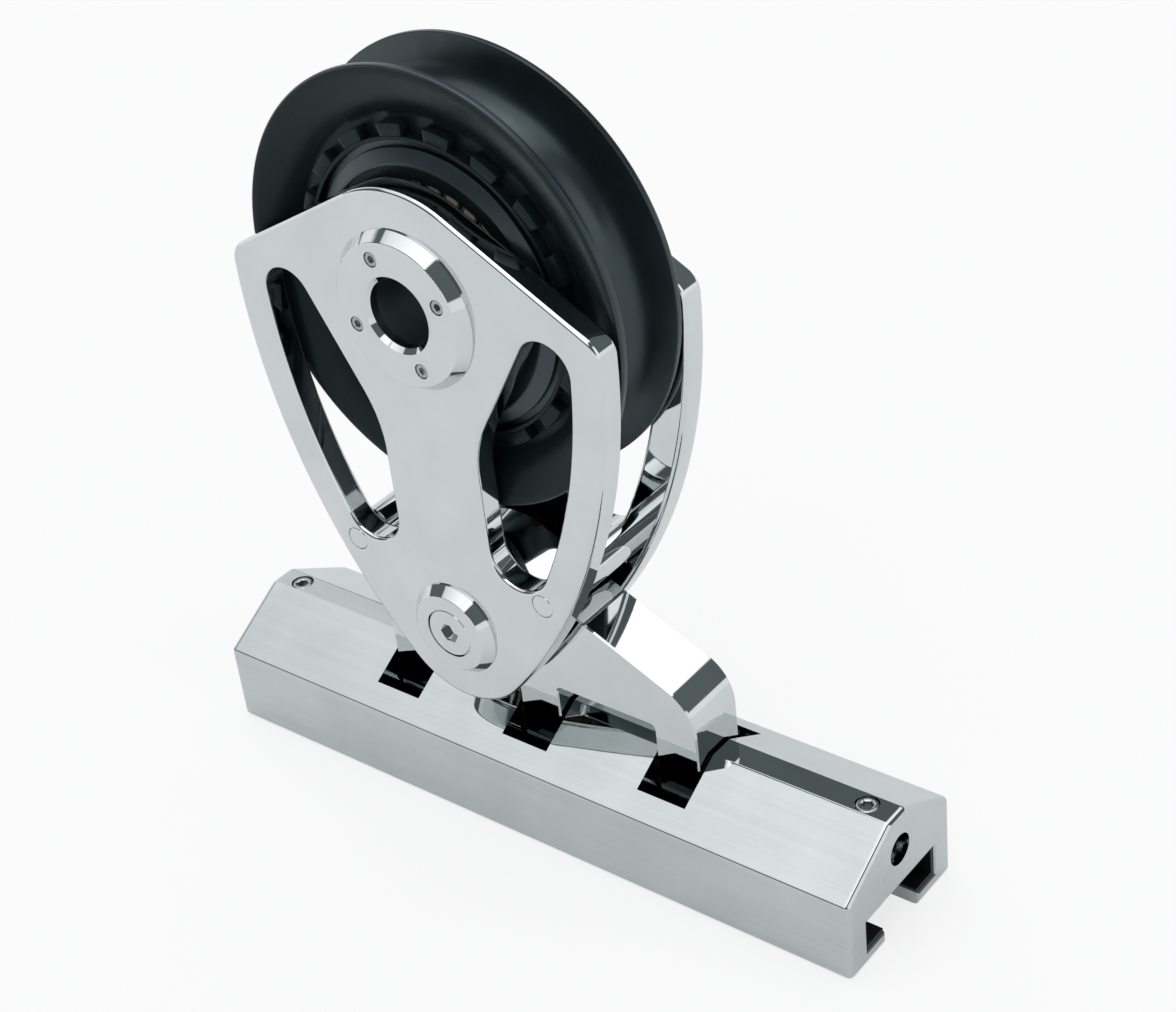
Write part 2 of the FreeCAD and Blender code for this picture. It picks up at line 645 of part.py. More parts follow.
def make_hinge_bush(name, x):
    """Two flanged bushes, one from each side of a leg, that run on the hinge pin."""
    body = new_body(name, x, "0", "hinge_height")
    section = new_sketch(body, "XZ_Plane", name.title() + "Section")
    leg = "notch_length / 2 - leg_gap"
    bore, barrel, flange = "pin_diameter / 2 + 1.4 * fit", "pin_diameter / 2 + bush_wall", "hinge_flange / 2"
    tip = "notch_length / 2 - end_play"
    corners = [
        ("end_play", bore),
        (tip, bore),
        (tip, flange),
        (leg, flange),
        (leg, barrel),
        ("end_play", barrel),
    ]
    add_polygon(section, corners)
    turned = add_turned(body, section, name.title() + "Turned")
    add_mirrored(body, [turned], name.title() + "Pair", "YZ_Plane")


def make_turned(name, place, corners):
    """A piece turned about an axis across the car, from corners given as distance across and radius."""
    body = new_body(name, *place)
    section = new_sketch(body, "YZ_Plane", name.title() + "Section")
    add_polygon(section, corners)
    return body, add_turned(body, section, name.title() + "Turned")


def make_pivot_bush(side):
    """A flanged bush of the bracket's head; its flange runs against a side plate."""
    bore, barrel, flange = "pivot_diameter / 2 + 1.4 * fit", "pivot_diameter / 2 + bush_wall", "pivot_flange / 2"
    face, tip = "bracket_thickness / 2", "plate_gap / 2 - end_play"
    corners = [
        (across(side, "end_play"), bore),
        (across(side, tip), bore),
        (across(side, tip), flange),
        (across(side, face), flange),
        (across(side, face), barrel),
        (across(side, "end_play"), barrel),
    ]
    make_turned(side + "_pivot_bush", PIVOT, corners)


def plate_numbers():
    """Places that the drawing of a side plate starts from."""
    slope = math.radians(number("top_slope"))
    apex, rise = number("apex_radius"), number("axle_rise")
    flank, corner = number("flank_radius"), number("corner_radius")
    flank_centre = (number("plate_half") - flank, rise)
    normal = (math.sin(slope), math.cos(slope))
    along = (math.cos(slope), -math.sin(slope))
    top = (apex * normal[0], rise + apex * normal[1])
    base = (top[0] - corner * normal[0] - flank_centre[0], top[1] - corner * normal[1] - flank_centre[1])
    half = base[0] * along[0] + base[1] * along[1]
    rest = base[0] ** 2 + base[1] ** 2 - (flank - corner) ** 2
    run = -half + math.sqrt(half * half - rest)
    corner_centre = (flank_centre[0] + base[0] + run * along[0], flank_centre[1] + base[1] + run * along[1])
    return slope, top, flank_centre, corner_centre


def make_plate(side):
    """A side plate: tangent arcs outside, two windows, and the holes for axle, pivot, rods and screws."""
    body = new_body(side + "_side_plate", *PIVOT)
    title = side.title()
    is_far = side == "far"
    slope, top, flank_centre, corner_centre = plate_numbers()
    apex, rise = number("apex_radius"), number("axle_rise")
    flank, corner = number("flank_radius"), number("corner_radius")
    to_corner = math.atan2(corner_centre[1] - flank_centre[1], corner_centre[0] - flank_centre[0])
    to_pivot = math.atan2(-flank_centre[1], -flank_centre[0])
    foot_radius = flank - math.hypot(*flank_centre)
    facing = math.pi / 2 - slope
    on_line = (corner_centre[0] + corner * math.cos(facing), corner_centre[1] + corner * math.sin(facing))

    outline = new_sketch(body, "XZ_Plane", title + "PlateOutline", lift=signed(side, "plate_gap / 2"))
    mirror = (-flank_centre[0], flank_centre[1])
    mirror_corner = (-corner_centre[0], corner_centre[1])
    flank_right = add_arc(outline, flank_centre, flank, to_pivot, to_corner)
    corner_right = add_arc(outline, corner_centre, corner, to_corner, facing)
    top_right = add_line(outline, on_line, top)
    crown = add_arc(outline, (0.0, rise), apex, facing, math.pi - facing)
    top_left = add_line(outline, (-top[0], top[1]), (-on_line[0], on_line[1]))
    corner_left = add_arc(outline, mirror_corner, corner, math.pi - facing, math.pi - to_corner)
    flank_left = add_arc(outline, mirror, flank, math.pi - to_corner, math.pi - to_pivot)
    foot = add_arc(outline, (0.0, 0.0), foot_radius, -math.pi - to_pivot, to_pivot)
    join(outline, [flank_right, corner_right, top_right, crown, top_left, corner_left, flank_left, foot])
    outline.addConstraint(Sketcher.Constraint("Coincident", foot, 3, -1, 1))
    fix_point(outline, crown, 3, "0", "axle_rise")
    bind(outline, Sketcher.Constraint("Radius", crown, apex), "apex_radius")
    fix_point(outline, flank_right, 3, "plate_half - flank_radius", "axle_rise")
    bind(outline, Sketcher.Constraint("Radius", flank_right, flank), "flank_radius")
    outline.addConstraint(Sketcher.Constraint("Equal", flank_right, flank_left))
    bind(outline, Sketcher.Constraint("Radius", corner_right, corner), "corner_radius")
    outline.addConstraint(Sketcher.Constraint("Equal", corner_right, corner_left))
    bind(outline, Sketcher.Constraint("Angle", top_right, math.pi - slope), "180 - top_slope")
    outline.addConstraint(Sketcher.Constraint("Symmetric", top_right, 1, top_left, 2, -2))
    add_pad(body, outline, title + "PlateBlank", "plate_thickness", reverse=is_far)

    window = new_sketch(body, "XZ_Plane", title + "WindowShape", lift=signed(side, PLATE_OUT))
    waist, lean = number("waist_half"), math.radians(number("web_slope"))
    round_top, round_foot = number("window_top"), number("window_foot")
    blend, reach = number("window_blend"), number("web_radius")
    rim = flank - number("rim_width")
    web = (reach * math.cos(lean), rise - reach * math.sin(lean))
    up = (math.sin(lean), math.cos(lean))
    inward = (math.cos(lean), -math.sin(lean))
    base = (web[0] + round_top * inward[0] - flank_centre[0], web[1] + round_top * inward[1] - flank_centre[1])
    half = base[0] * up[0] + base[1] * up[1]
    rest = base[0] ** 2 + base[1] ** 2 - (rim - round_top) ** 2
    run = -half + math.sqrt(half * half - rest)
    top_centre = (flank_centre[0] + base[0] + run * up[0], flank_centre[1] + base[1] + run * up[1])
    foot_x = waist + round_foot
    foot_y = rise - math.sqrt((rim - round_foot) ** 2 - (foot_x - flank_centre[0]) ** 2)
    blend_x = waist + blend
    blend_run = (blend_x - web[0] - blend * inward[0]) / up[0]
    blend_y = web[1] + blend * inward[1] + blend_run * up[1]
    to_top = math.atan2(top_centre[1] - flank_centre[1], top_centre[0] - flank_centre[0])
    to_foot = math.atan2(foot_y - flank_centre[1], foot_x - flank_centre[0])
    off = math.pi - lean
    rim_arc = add_arc(window, flank_centre, rim, to_foot, to_top)
    top_arc = add_arc(window, top_centre, round_top, to_top, off)
    web_line = add_line(window, tangent_point(top_centre, round_top, off),
                        tangent_point((blend_x, blend_y), blend, off))
    blend_arc = add_arc(window, (blend_x, blend_y), blend, off, math.pi)
    waist_line = add_line(window, (waist, blend_y), (waist, foot_y))
    foot_arc = add_arc(window, (foot_x, foot_y), round_foot, math.pi, 2 * math.pi + to_foot)
    join(window, [rim_arc, top_arc, web_line, blend_arc, waist_line, foot_arc])
    fix_point(window, rim_arc, 3, "plate_half - flank_radius", "axle_rise")
    bind(window, Sketcher.Constraint("Radius", rim_arc, rim), "flank_radius - rim_width")
    bind(window, Sketcher.Constraint("Radius", top_arc, round_top), "window_top")
    bind(window, Sketcher.Constraint("Radius", blend_arc, blend), "window_blend")
    bind(window, Sketcher.Constraint("Radius", foot_arc, round_foot), "window_foot")
    window.addConstraint(Sketcher.Constraint("Vertical", waist_line))
    bind(window, Sketcher.Constraint("DistanceX", -1, 1, waist_line, 2, waist), "waist_half")
    bind(window, Sketcher.Constraint("Angle", web_line, -math.pi / 2 - lean), "-90 - web_slope")
    axle = window.addGeometry(Part.Point(vector(0.0, rise)), True)
    fix_point(window, axle, 1, "0", "axle_rise")
    bind(window, Sketcher.Constraint("Distance", axle, 1, web_line, reach), "web_radius")
    right = add_pocket(body, window, title + "Window", reverse=is_far)
    windows = add_mirrored(body, [right], title + "Windows", "YZ_Plane")

    faces = (number(signed(side, "plate_gap / 2")), number(signed(side, PLATE_OUT)))

    def plate_edge(edge):
        return any(flat_at(edge, "Y", -level) for level in faces)

    add_edge_feature(body, "Fillet", title + "PlateEdges", windows, plate_edge, "plate_edge")

    holes = new_sketch(body, "XZ_Plane", title + "PlateHoleShape", lift=signed(side, PLATE_OUT))
    add_circle(holes, "0", "axle_rise", "axle_diameter / 2 + fit")
    add_circle(holes, "0", "0", "pivot_diameter / 2 + fit")
    add_circle(holes, "rod_reach", "rod_rise", "rod_end / 2 + fit")
    add_circle(holes, "-rod_reach", "rod_rise", "rod_end / 2 + fit")
    add_pocket(body, holes, title + "PlateHoles", reverse=is_far)
    taps = new_sketch(body, "XZ_Plane", title + "TapShape", lift=signed(side, PLATE_OUT))
    for turn in (0, 90, 180, 270):
        angle = "screw_turn + %d" % turn
        x = "screw_circle * cos(%s)" % angle
        y = "axle_rise + screw_circle * sin(%s)" % angle
        add_circle(taps, x, y, "screw_shank / 2 + fit")
    add_pocket(body, taps, title + "Taps", length="screw_depth + end_play", reverse=is_far)


def make_axle_cap(side):
    """The bevelled ring that closes one end of the axle."""
    base, top = PLATE_OUT, PLATE_OUT + " + cap_height"
    corners = [
        (across(side, base), AXLE_BORE),
        (across(side, base), "cap_diameter / 2"),
        (across(side, base + " + cap_foot"), "cap_diameter / 2"),
        (across(side, top), "cap_top / 2"),
        (across(side, top), AXLE_BORE + " + cap_bevel"),
        (across(side, top + " - cap_bevel"), AXLE_BORE),
    ]
    body, turned = make_turned(side + "_axle_cap", AXLE, corners)
    title = side.title()
    level = number(across(side, top))
    rim = number("cap_top / 2")

    def rim_edge(edge):
        return flat_at(edge, "Y", level) and edge.BoundBox.XLength > 2 * rim - 1.0

    add_edge_feature(body, "Fillet", title + "CapRim", turned, rim_edge, "rim_break")
    seats = new_sketch(body, "XZ_Plane", title + "CapSeatShape", lift=signed(side, top))
    shanks = new_sketch(body, "XZ_Plane", title + "CapShankShape", lift=signed(side, top))
    for turn in (0, 90, 180, 270):
        angle = "screw_turn + %d" % turn
        x = "screw_circle * cos(%s)" % angle
        y = "screw_circle * sin(%s)" % angle
        add_circle(seats, x, y, "screw_head / 2 + 0.1")
        add_circle(shanks, x, y, "screw_shank / 2 + fit")
    add_pocket(body, seats, title + "CapSeats", length="screw_head_height + seat_play", reverse=side == "far")
    add_pocket(body, shanks, title + "CapShanks", reverse=side == "far")


def make_cap_screws(side):
    """The four socket screws of one axle cap."""
    body = new_body(side + "_cap_screws", *AXLE)
    title = side.title()
    is_far = side == "far"
    seat = PLATE_OUT + " + cap_height - seat_play - screw_head_height"
    x, y = "screw_circle * cos(screw_turn)", "screw_circle * sin(screw_turn)"
    heads = new_sketch(body, "XZ_Plane", title + "ScrewHeadShape", lift=signed(side, seat))
    add_circle(heads, x, y, "screw_head / 2")
    head = add_pad(body, heads, title + "ScrewHead", "screw_head_height", reverse=is_far)
    shanks = new_sketch(body, "XZ_Plane", title + "ScrewShankShape", lift=signed(side, seat))
    add_circle(shanks, x, y, "screw_shank / 2")
    depth = "cap_height - seat_play - screw_head_height + screw_depth"
    shank = add_pad(body, shanks, title + "ScrewShank", depth, reverse=not is_far)
    keys = new_sketch(body, "XZ_Plane", title + "ScrewKeyShape", lift=signed(side, seat + " + screw_head_height"))
    add_hexagon(keys, x, y, "screw_key")
    key = add_pocket(body, keys, title + "ScrewKey", length="screw_head_height * 0.6", reverse=is_far)
    add_polar(body, [head, shank, key], title + "ScrewRing", "Y_Axis", "4")


def make_pivot_cap(side):
    """The bevelled washer over one end of the pivot, with the seat of its screw."""
    base, top = PLATE_OUT, PLATE_OUT + " + pivot_cap_height"
    corners = [
        (across(side, base), "pivot_shank / 2 + 0.3"),
        (across(side, base), "pivot_cap / 2"),
        (across(side, base + " + cap_foot"), "pivot_cap / 2"),
        (across(side, top), "pivot_cap_top / 2"),
        (across(side, top), "pivot_head / 2 + 0.3"),
        (across(side, base + " + pivot_cap_floor"), "pivot_head / 2 + 0.3"),
        (across(side, base + " + pivot_cap_floor"), "pivot_shank / 2 + 0.3"),
    ]
    body, turned = make_turned(side + "_pivot_cap", PIVOT, corners)
    level = number(across(side, top))
    rim = number("pivot_cap_top")

    def rim_edge(edge):
        return flat_at(edge, "Y", level) and edge.BoundBox.XLength > rim - 1.0

    add_edge_feature(body, "Fillet", side.title() + "PivotRim", turned, rim_edge, "rim_break")


def make_pivot_screw(side):
    """The socket screw that holds a pivot cap to the pin."""
    body = new_body(side + "_pivot_screw", *PIVOT)
    title = side.title()
    is_far = side == "far"
    seat = PLATE_OUT + " + pivot_cap_floor"
    height = "pivot_cap_height - pivot_cap_floor - seat_play"
    shape = new_sketch(body, "XZ_Plane", title + "PivotHeadShape", lift=signed(side, seat))
    add_circle(shape, "0", "0", "pivot_head / 2")
    head = add_pad(body, shape, title + "PivotHead", height, reverse=is_far)
    level = number(across(side, "%s + %s" % (seat, height)))
    add_edge_feature(body, "Chamfer", title + "PivotHeadEdge", head,
                     lambda edge: flat_at(edge, "Y", level), "rod_bevel")
    shank = new_sketch(body, "XZ_Plane", title + "PivotShankShape", lift=signed(side, seat))
    add_circle(shank, "0", "0", "pivot_shank / 2")
    add_pad(body, shank, title + "PivotShank", "pivot_cap_floor + pivot_depth", reverse=not is_far)
    key = new_sketch(body, "XZ_Plane", title + "PivotKeyShape", lift=signed(side, "%s + %s" % (seat, height)))
    add_hexagon(key, "0", "0", "pivot_key")
    add_pocket(body, key, title + "PivotKey", length="(%s) * 0.8" % height, reverse=is_far)


def make_block_fittings():
    """Pivot pin, tie rods and hollow axle between the side plates."""
    reach = PLATE_OUT
    tapped = "pivot_shank / 2 + fit"
    depth = "%s - pivot_depth - end_play" % reach
    corners = [
        ("-(%s)" % reach, tapped),
        ("-(%s)" % reach, "pivot_diameter / 2"),
        (reach, "pivot_diameter / 2"),
        (reach, tapped),
        (depth, tapped),
        (depth, "0"),
        ("-(%s)" % depth, "0"),
        ("-(%s)" % depth, tapped),
    ]
    make_turned("pivot_pin", PIVOT, corners)
    for name, x in (("left_tie_rod", "-pivot_offset - rod_reach"), ("right_tie_rod", "rod_reach - pivot_offset")):
        place = (x, "0", "hinge_height + pivot_rise + rod_rise")
        corners = [
            ("-(%s)" % reach, "0"),
            ("-(%s)" % reach, "rod_end / 2 - rod_bevel"),
            ("-(%s - rod_bevel)" % reach, "rod_end / 2"),
            ("-plate_gap / 2", "rod_end / 2"),
            ("-plate_gap / 2", "rod_diameter / 2"),
            ("plate_gap / 2", "rod_diameter / 2"),
            ("plate_gap / 2", "rod_end / 2"),
            ("%s - rod_bevel" % reach, "rod_end / 2"),
            (reach, "rod_end / 2 - rod_bevel"),
            (reach, "0"),
        ]
        make_turned(name, place, corners)
    corners = [
        ("-(%s)" % reach, AXLE_BORE),
        (reach, AXLE_BORE),
        (reach, "axle_diameter / 2"),
        ("-(%s)" % reach, "axle_diameter / 2"),
    ]
    make_turned("axle", AXLE, corners)


def make_races():
    """The inner race on the axle and the outer race in the sheave, with lips that keep the rollers in."""
    half, track = "race_half", "race_half - lip_width"
    bore, wide = "axle_diameter / 2 + fit", "plate_gap / 2"
    inner = ROLLER_PITCH + " - roller_diameter / 2 - roller_play"
    outer = ROLLER_PITCH + " + roller_diameter / 2 + roller_play"
    right = [
        (wide, bore),
        (wide, "inner_hub"),
        (half, "inner_hub"),
        (half, inner + " + lip_reach"),
        (track, inner + " + lip_reach"),
        (track, inner),
    ]
    left = [("-(%s)" % x, y) for x, y in reversed(right)]
    make_turned("inner_race", AXLE, right + left)
    right = [
        (half, RACE_OUTER),
        (half, outer + " - lip_reach"),
        (track, outer + " - lip_reach"),
        (track, outer),
    ]
    left = [("-(%s)" % x, y) for x, y in reversed(right)]
    make_turned("outer_race", AXLE, right + left)


def make_rollers():
    """Two rows of rollers."""
    body = new_body("rollers", *AXLE)
    start, length = "cage_web / 2 + end_play", "race_half - lip_width - cage_web / 2 - 2 * end_play"
    near_shape = new_sketch(body, "XZ_Plane", "NearRollerShape", lift=start)
    add_circle(near_shape, ROLLER_PITCH, "0", "roller_diameter / 2")
    near = add_pad(body, near_shape, "NearRoller", length)
    far_shape = new_sketch(body, "XZ_Plane", "FarRollerShape", lift="-(%s)" % start)
    add_circle(far_shape, ROLLER_PITCH, "0", "roller_diameter / 2")
    far = add_pad(body, far_shape, "FarRoller", length, reverse=True)
    add_polar(body, [near, far], "RollerRows", "Y_Axis", ROLLER_COUNT)


def make_cage():
    """The comb cage: a web between the rows with fingers between the rollers."""
    body = new_body("roller_cage", *AXLE)
    half = "race_half - lip_width - end_play"
    section = new_sketch(body, "YZ_Plane", "CageSection")
    inner, outer = ROLLER_PITCH + " - cage_wall / 2", ROLLER_PITCH + " + cage_wall / 2"
    add_polygon(section, [("-(%s)" % half, inner), (half, inner), (half, outer), ("-(%s)" % half, outer)])
    add_turned(body, section, "CageRing")
    depth = "race_half - lip_width - end_play - cage_web / 2"
    near_shape = new_sketch(body, "XZ_Plane", "NearGapShape", lift=half)
    add_circle(near_shape, ROLLER_PITCH, "0", "roller_diameter / 2 + cage_play")
    near = add_pocket(body, near_shape, "NearGap", length=depth)
    add_polar(body, [near], "NearGaps", "Y_Axis", ROLLER_COUNT)
    far_shape = new_sketch(body, "XZ_Plane", "FarGapShape", lift="-(%s)" % half)
    add_circle(far_shape, ROLLER_PITCH, "0", "roller_diameter / 2 + cage_play")
    far = add_pocket(body, far_shape, "FarGap", length=depth, reverse=True)
    add_polar(body, [far], "FarGaps", "Y_Axis", ROLLER_COUNT)


def make_sheave():
    """The sheave: dished sides with a toothed ring in a recess, a coned hub and a deep rope groove."""
    body = new_body("sheave", *AXLE)
    wide, rim = "sheave_width / 2", "sheave_diameter / 2"
    right = [
        ("hub_half", RACE_OUTER + " + fit"),
        ("hub_half", HUB_LAND),
        ("hub_cone", HUB_FOOT),
        ("trench_floor", HUB_FOOT),
        ("trench_floor", RING_INNER),
        ("ring_half", RING_INNER),
        ("ring_half", RING_OUTER),
        ("recess_floor", RING_OUTER),
        ("recess_floor", DISH_INNER),
        (wide + " - dish_depth", DISH_KNEE),
        (wide, DISH_OUTER),
        (wide, rim),
    ]
    left = [("-(%s)" % x, y) for x, y in reversed(right)]
    section = new_sketch(body, "YZ_Plane", "SheaveSection")
    add_polygon(section, right + left)
    add_turned(body, section, "SheaveBlank")

    groove = new_sketch(body, "YZ_Plane", "RopeGrooveShape")
    radius, lean = number("groove_radius"), math.radians(number("groove_slope"))
    centre_y = number("sheave_diameter / 2 - groove_depth + groove_radius")
    top_y = number("sheave_diameter / 2 + 1")
    foot = tangent_point((0.0, centre_y), radius, -lean)
    top_x = foot[0] + (top_y - foot[1]) * math.tan(lean)
    arc = add_arc(groove, (0.0, centre_y), radius, math.pi + lean, 2 * math.pi - lean)
    side_right = add_line(groove, foot, (top_x, top_y))
    lid = add_line(groove, (top_x, top_y), (-top_x, top_y))
    side_left = add_line(groove, (-top_x, top_y), (-foot[0], foot[1]))
    groove.addConstraint(Sketcher.Constraint("Tangent", arc, 2, side_right, 1))
    groove.addConstraint(Sketcher.Constraint("Coincident", side_right, 2, lid, 1))
    groove.addConstraint(Sketcher.Constraint("Coincident", lid, 2, side_left, 1))
    groove.addConstraint(Sketcher.Constraint("Tangent", side_left, 2, arc, 1))
    fix_point(groove, arc, 3, "0", "sheave_diameter / 2 - groove_depth + groove_radius")
    bind(groove, Sketcher.Constraint("Radius", arc, radius), "groove_radius")
    bind(groove, Sketcher.Constraint("Angle", side_right, math.pi / 2 - lean), "90 - groove_slope")
    groove.addConstraint(Sketcher.Constraint("Symmetric", side_right, 2, side_left, 1, -2))
    bind(groove, Sketcher.Constraint("DistanceY", -1, 1, side_right, 2, top_y), "sheave_diameter / 2 + 1")
    cut = add_turned(body, groove, "RopeGroove", kind="PartDesign::Groove")

    across_rims, over = number(wide), number("sheave_diameter")

    def outer_crest(edge):
        on_face = flat_at(edge, "Y", across_rims) or flat_at(edge, "Y", -across_rims)
        return on_face and edge.BoundBox.XLength > over - 0.1

    def inner_crest(edge):
        box = edge.BoundBox
        return box.XLength > over - 0.01 and box.YLength < 1e-4 and abs(box.YMin) < across_rims - 2.0

    crests = add_edge_feature(body, "Fillet", "RimRounds", cut, outer_crest, "rim_round")
    add_edge_feature(body, "Fillet", "RimBreaks", crests, inner_crest, "rim_break")

    for side in ("near", "far"):
        shape = new_sketch(body, "XZ_Plane", side.title() + "ToothGapShape", lift=signed(side, "ring_half"))
        add_rectangle(shape, "-tooth_gap / 2", "tooth_gap / 2", RING_BACK, RING_OUTER + " + 1")
        first = add_pocket(body, shape, side.title() + "ToothGap", length="ring_half - recess_floor",
                           reverse=side == "far")
        add_polar(body, [first], side.title() + "ToothGaps", "Y_Axis", "tooth_count")


make_car_body()
make_slider("near")
make_slider("far")
make_hinge_pin()
make_lock_screw("lock_screw_left", "-" + LOCK_REACH)
make_lock_screw("lock_screw_right", LOCK_REACH)
make_bracket()
make_hinge_bush("hinge_bush_left", "-notch_pitch")
make_hinge_bush("hinge_bush_centre", "0")
make_hinge_bush("hinge_bush_right", "notch_pitch")
make_pivot_bush("near")
make_pivot_bush("far")
make_plate("near")
make_plate("far")
make_block_fittings()
for one_side in ("near", "far"):
    make_axle_cap(one_side)
    make_cap_screws(one_side)
    make_pivot_cap(one_side)
    make_pivot_screw(one_side)
make_races()
make_rollers()
make_cage()
make_sheave()

DOC.recompute()
for item in DOC.Objects:
    if "Invalid" in item.State or "Error" in item.State:
        raise RuntimeError("%s did not recompute: %s" % (item.Name, item.State))
for piece in PIECES:
    if not piece.Shape.isValid() or not piece.Shape.Solids:
        raise RuntimeError("%s has no sound shape" % piece.Label)
    piece.Shape.exportStep("parts/%s.step" % piece.Label)
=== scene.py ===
"""Looks of a genoa car with a leaning sheet block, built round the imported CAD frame.

Lengths are metres in the part's frame: X along the track, Y across it, Z up, and the origin under
the car's middle. The near side is the one with the lower Y.
"""

from __future__ import annotations

import json
import logging
import math
from dataclasses import dataclass, replace
from enum import Enum

import bmesh
import bpy
from mathutils import Matrix, Vector

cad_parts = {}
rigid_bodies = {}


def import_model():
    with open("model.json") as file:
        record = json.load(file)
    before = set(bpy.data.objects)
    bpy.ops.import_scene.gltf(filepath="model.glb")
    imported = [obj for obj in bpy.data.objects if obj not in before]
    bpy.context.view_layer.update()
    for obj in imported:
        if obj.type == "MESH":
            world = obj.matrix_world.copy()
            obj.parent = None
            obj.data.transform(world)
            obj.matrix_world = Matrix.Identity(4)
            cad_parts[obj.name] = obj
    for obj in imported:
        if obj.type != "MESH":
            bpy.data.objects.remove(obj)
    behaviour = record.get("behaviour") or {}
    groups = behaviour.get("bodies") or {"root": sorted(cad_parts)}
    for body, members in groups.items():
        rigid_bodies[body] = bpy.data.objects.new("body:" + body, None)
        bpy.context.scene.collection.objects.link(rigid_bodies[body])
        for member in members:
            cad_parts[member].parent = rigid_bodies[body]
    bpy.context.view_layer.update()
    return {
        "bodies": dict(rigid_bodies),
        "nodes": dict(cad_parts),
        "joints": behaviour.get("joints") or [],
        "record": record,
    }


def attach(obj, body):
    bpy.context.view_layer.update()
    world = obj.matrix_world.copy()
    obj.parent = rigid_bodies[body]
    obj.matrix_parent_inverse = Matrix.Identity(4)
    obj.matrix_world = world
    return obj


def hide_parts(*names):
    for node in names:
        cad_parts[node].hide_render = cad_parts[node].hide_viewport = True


LOG = logging.getLogger("genoa_car")
MM = 0.001

Point = tuple[float, float, float]
Tree = bpy.types.NodeTree
Socket = bpy.types.NodeSocket
Piece = bpy.types.Object

# Middle of the axle, which the wheel and its bearing turn about, and the axis of the hinge.
AXLE: Point = (-0.021, 0.0, 0.214)
HINGE: Point = (0.0, 0.0, 0.0345)
WHITE = "#FFFFFF"

# Node types, and settings of the Math node, that several trees use.
MATH, VECTOR_MATH, MAP_RANGE = "ShaderNodeMath", "ShaderNodeVectorMath", "ShaderNodeMapRange"
NOISE, BUMP, TINTED = "ShaderNodeTexNoise", "ShaderNodeBump", "ShaderNodeHueSaturation"
TIMES, SHARE_OF = {"operation": "MULTIPLY"}, {"operation": "DIVIDE"}
LARGER, ABOVE = {"operation": "MAXIMUM"}, {"operation": "GREATER_THAN"}
SOFT_STEP = {"interpolation_type": "SMOOTHSTEP"}

# Nearly all of a noise lies between these two values.
NOISE_LOW, NOISE_HIGH = 0.3, 0.7
# Period of the wave texture at a scale of one.
WAVE_PERIOD = 0.314

# A face with more corners than this is a round end, and one this close to an axis faces along it.
ROUND_FACE = 12
FACING = 0.99
# Points closer than this are one point.
WELD = 1e-6


def linear(code: str) -> tuple[float, float, float, float]:
    """Turns an sRGB hex value into the linear colour that shaders take.

    Args:
        code: Six hex digits with a leading hash.

    Returns:
        Linear red, green and blue, with an alpha of one.
    """
    parts = [int(code[i : i + 2], 16) / 255 for i in (1, 3, 5)]
    # The standard curve: a short straight foot, and a power above it.
    red, green, blue = (c / 12.92 if c <= 0.04045 else ((c + 0.055) / 1.055) ** 2.4 for c in parts)
    return red, green, blue, 1.0


def scale_of(size_mm: float) -> float:
    """Gives the scale at which a noise has blotches of a real size in millimetres."""
    return 1.0 / (size_mm * MM)


def add_node(
    tree: Tree,
    kind: str,
    settings: dict[str, object] | None = None,
    inputs: dict[str | int, object] | None = None,
) -> bpy.types.Node:
    """Adds one node with its settings, values and links.

    Args:
        tree: Node tree that takes the node.
        kind: Blender's name of the node type.
        settings: Properties of the node itself.
        inputs: Values, or output sockets to link, by input name or number.

    Returns:
        The new node.
    """
    node = tree.nodes.new(kind)
    for name, value in (settings or {}).items():
        setattr(node, name, value)
    for name, value in (inputs or {}).items():
        socket = node.inputs[name]
        if isinstance(value, Socket):
            tree.links.new(value, socket)
        else:
            socket.default_value = value
    return node


def deselect_all() -> None:
    """Clears the selection that loading and earlier operators leave behind."""
    for item in bpy.context.selected_objects:
        item.select_set(False)


class Grain(Enum):
    """Axis that the tool marks run round, as the turn that lays the pattern's own axis on it."""

    ROUND_Y = (math.pi / 2, 0.0, 0.0)
    ROUND_X = (0.0, math.pi / 2, 0.0)


class Side(Enum):
    """Side of the block, as the sign of its Y."""

    NEAR = -1.0
    FAR = 1.0


class End(Enum):
    """End of the car, as the sign of its X."""

    LEFT = -1.0
    RIGHT = 1.0


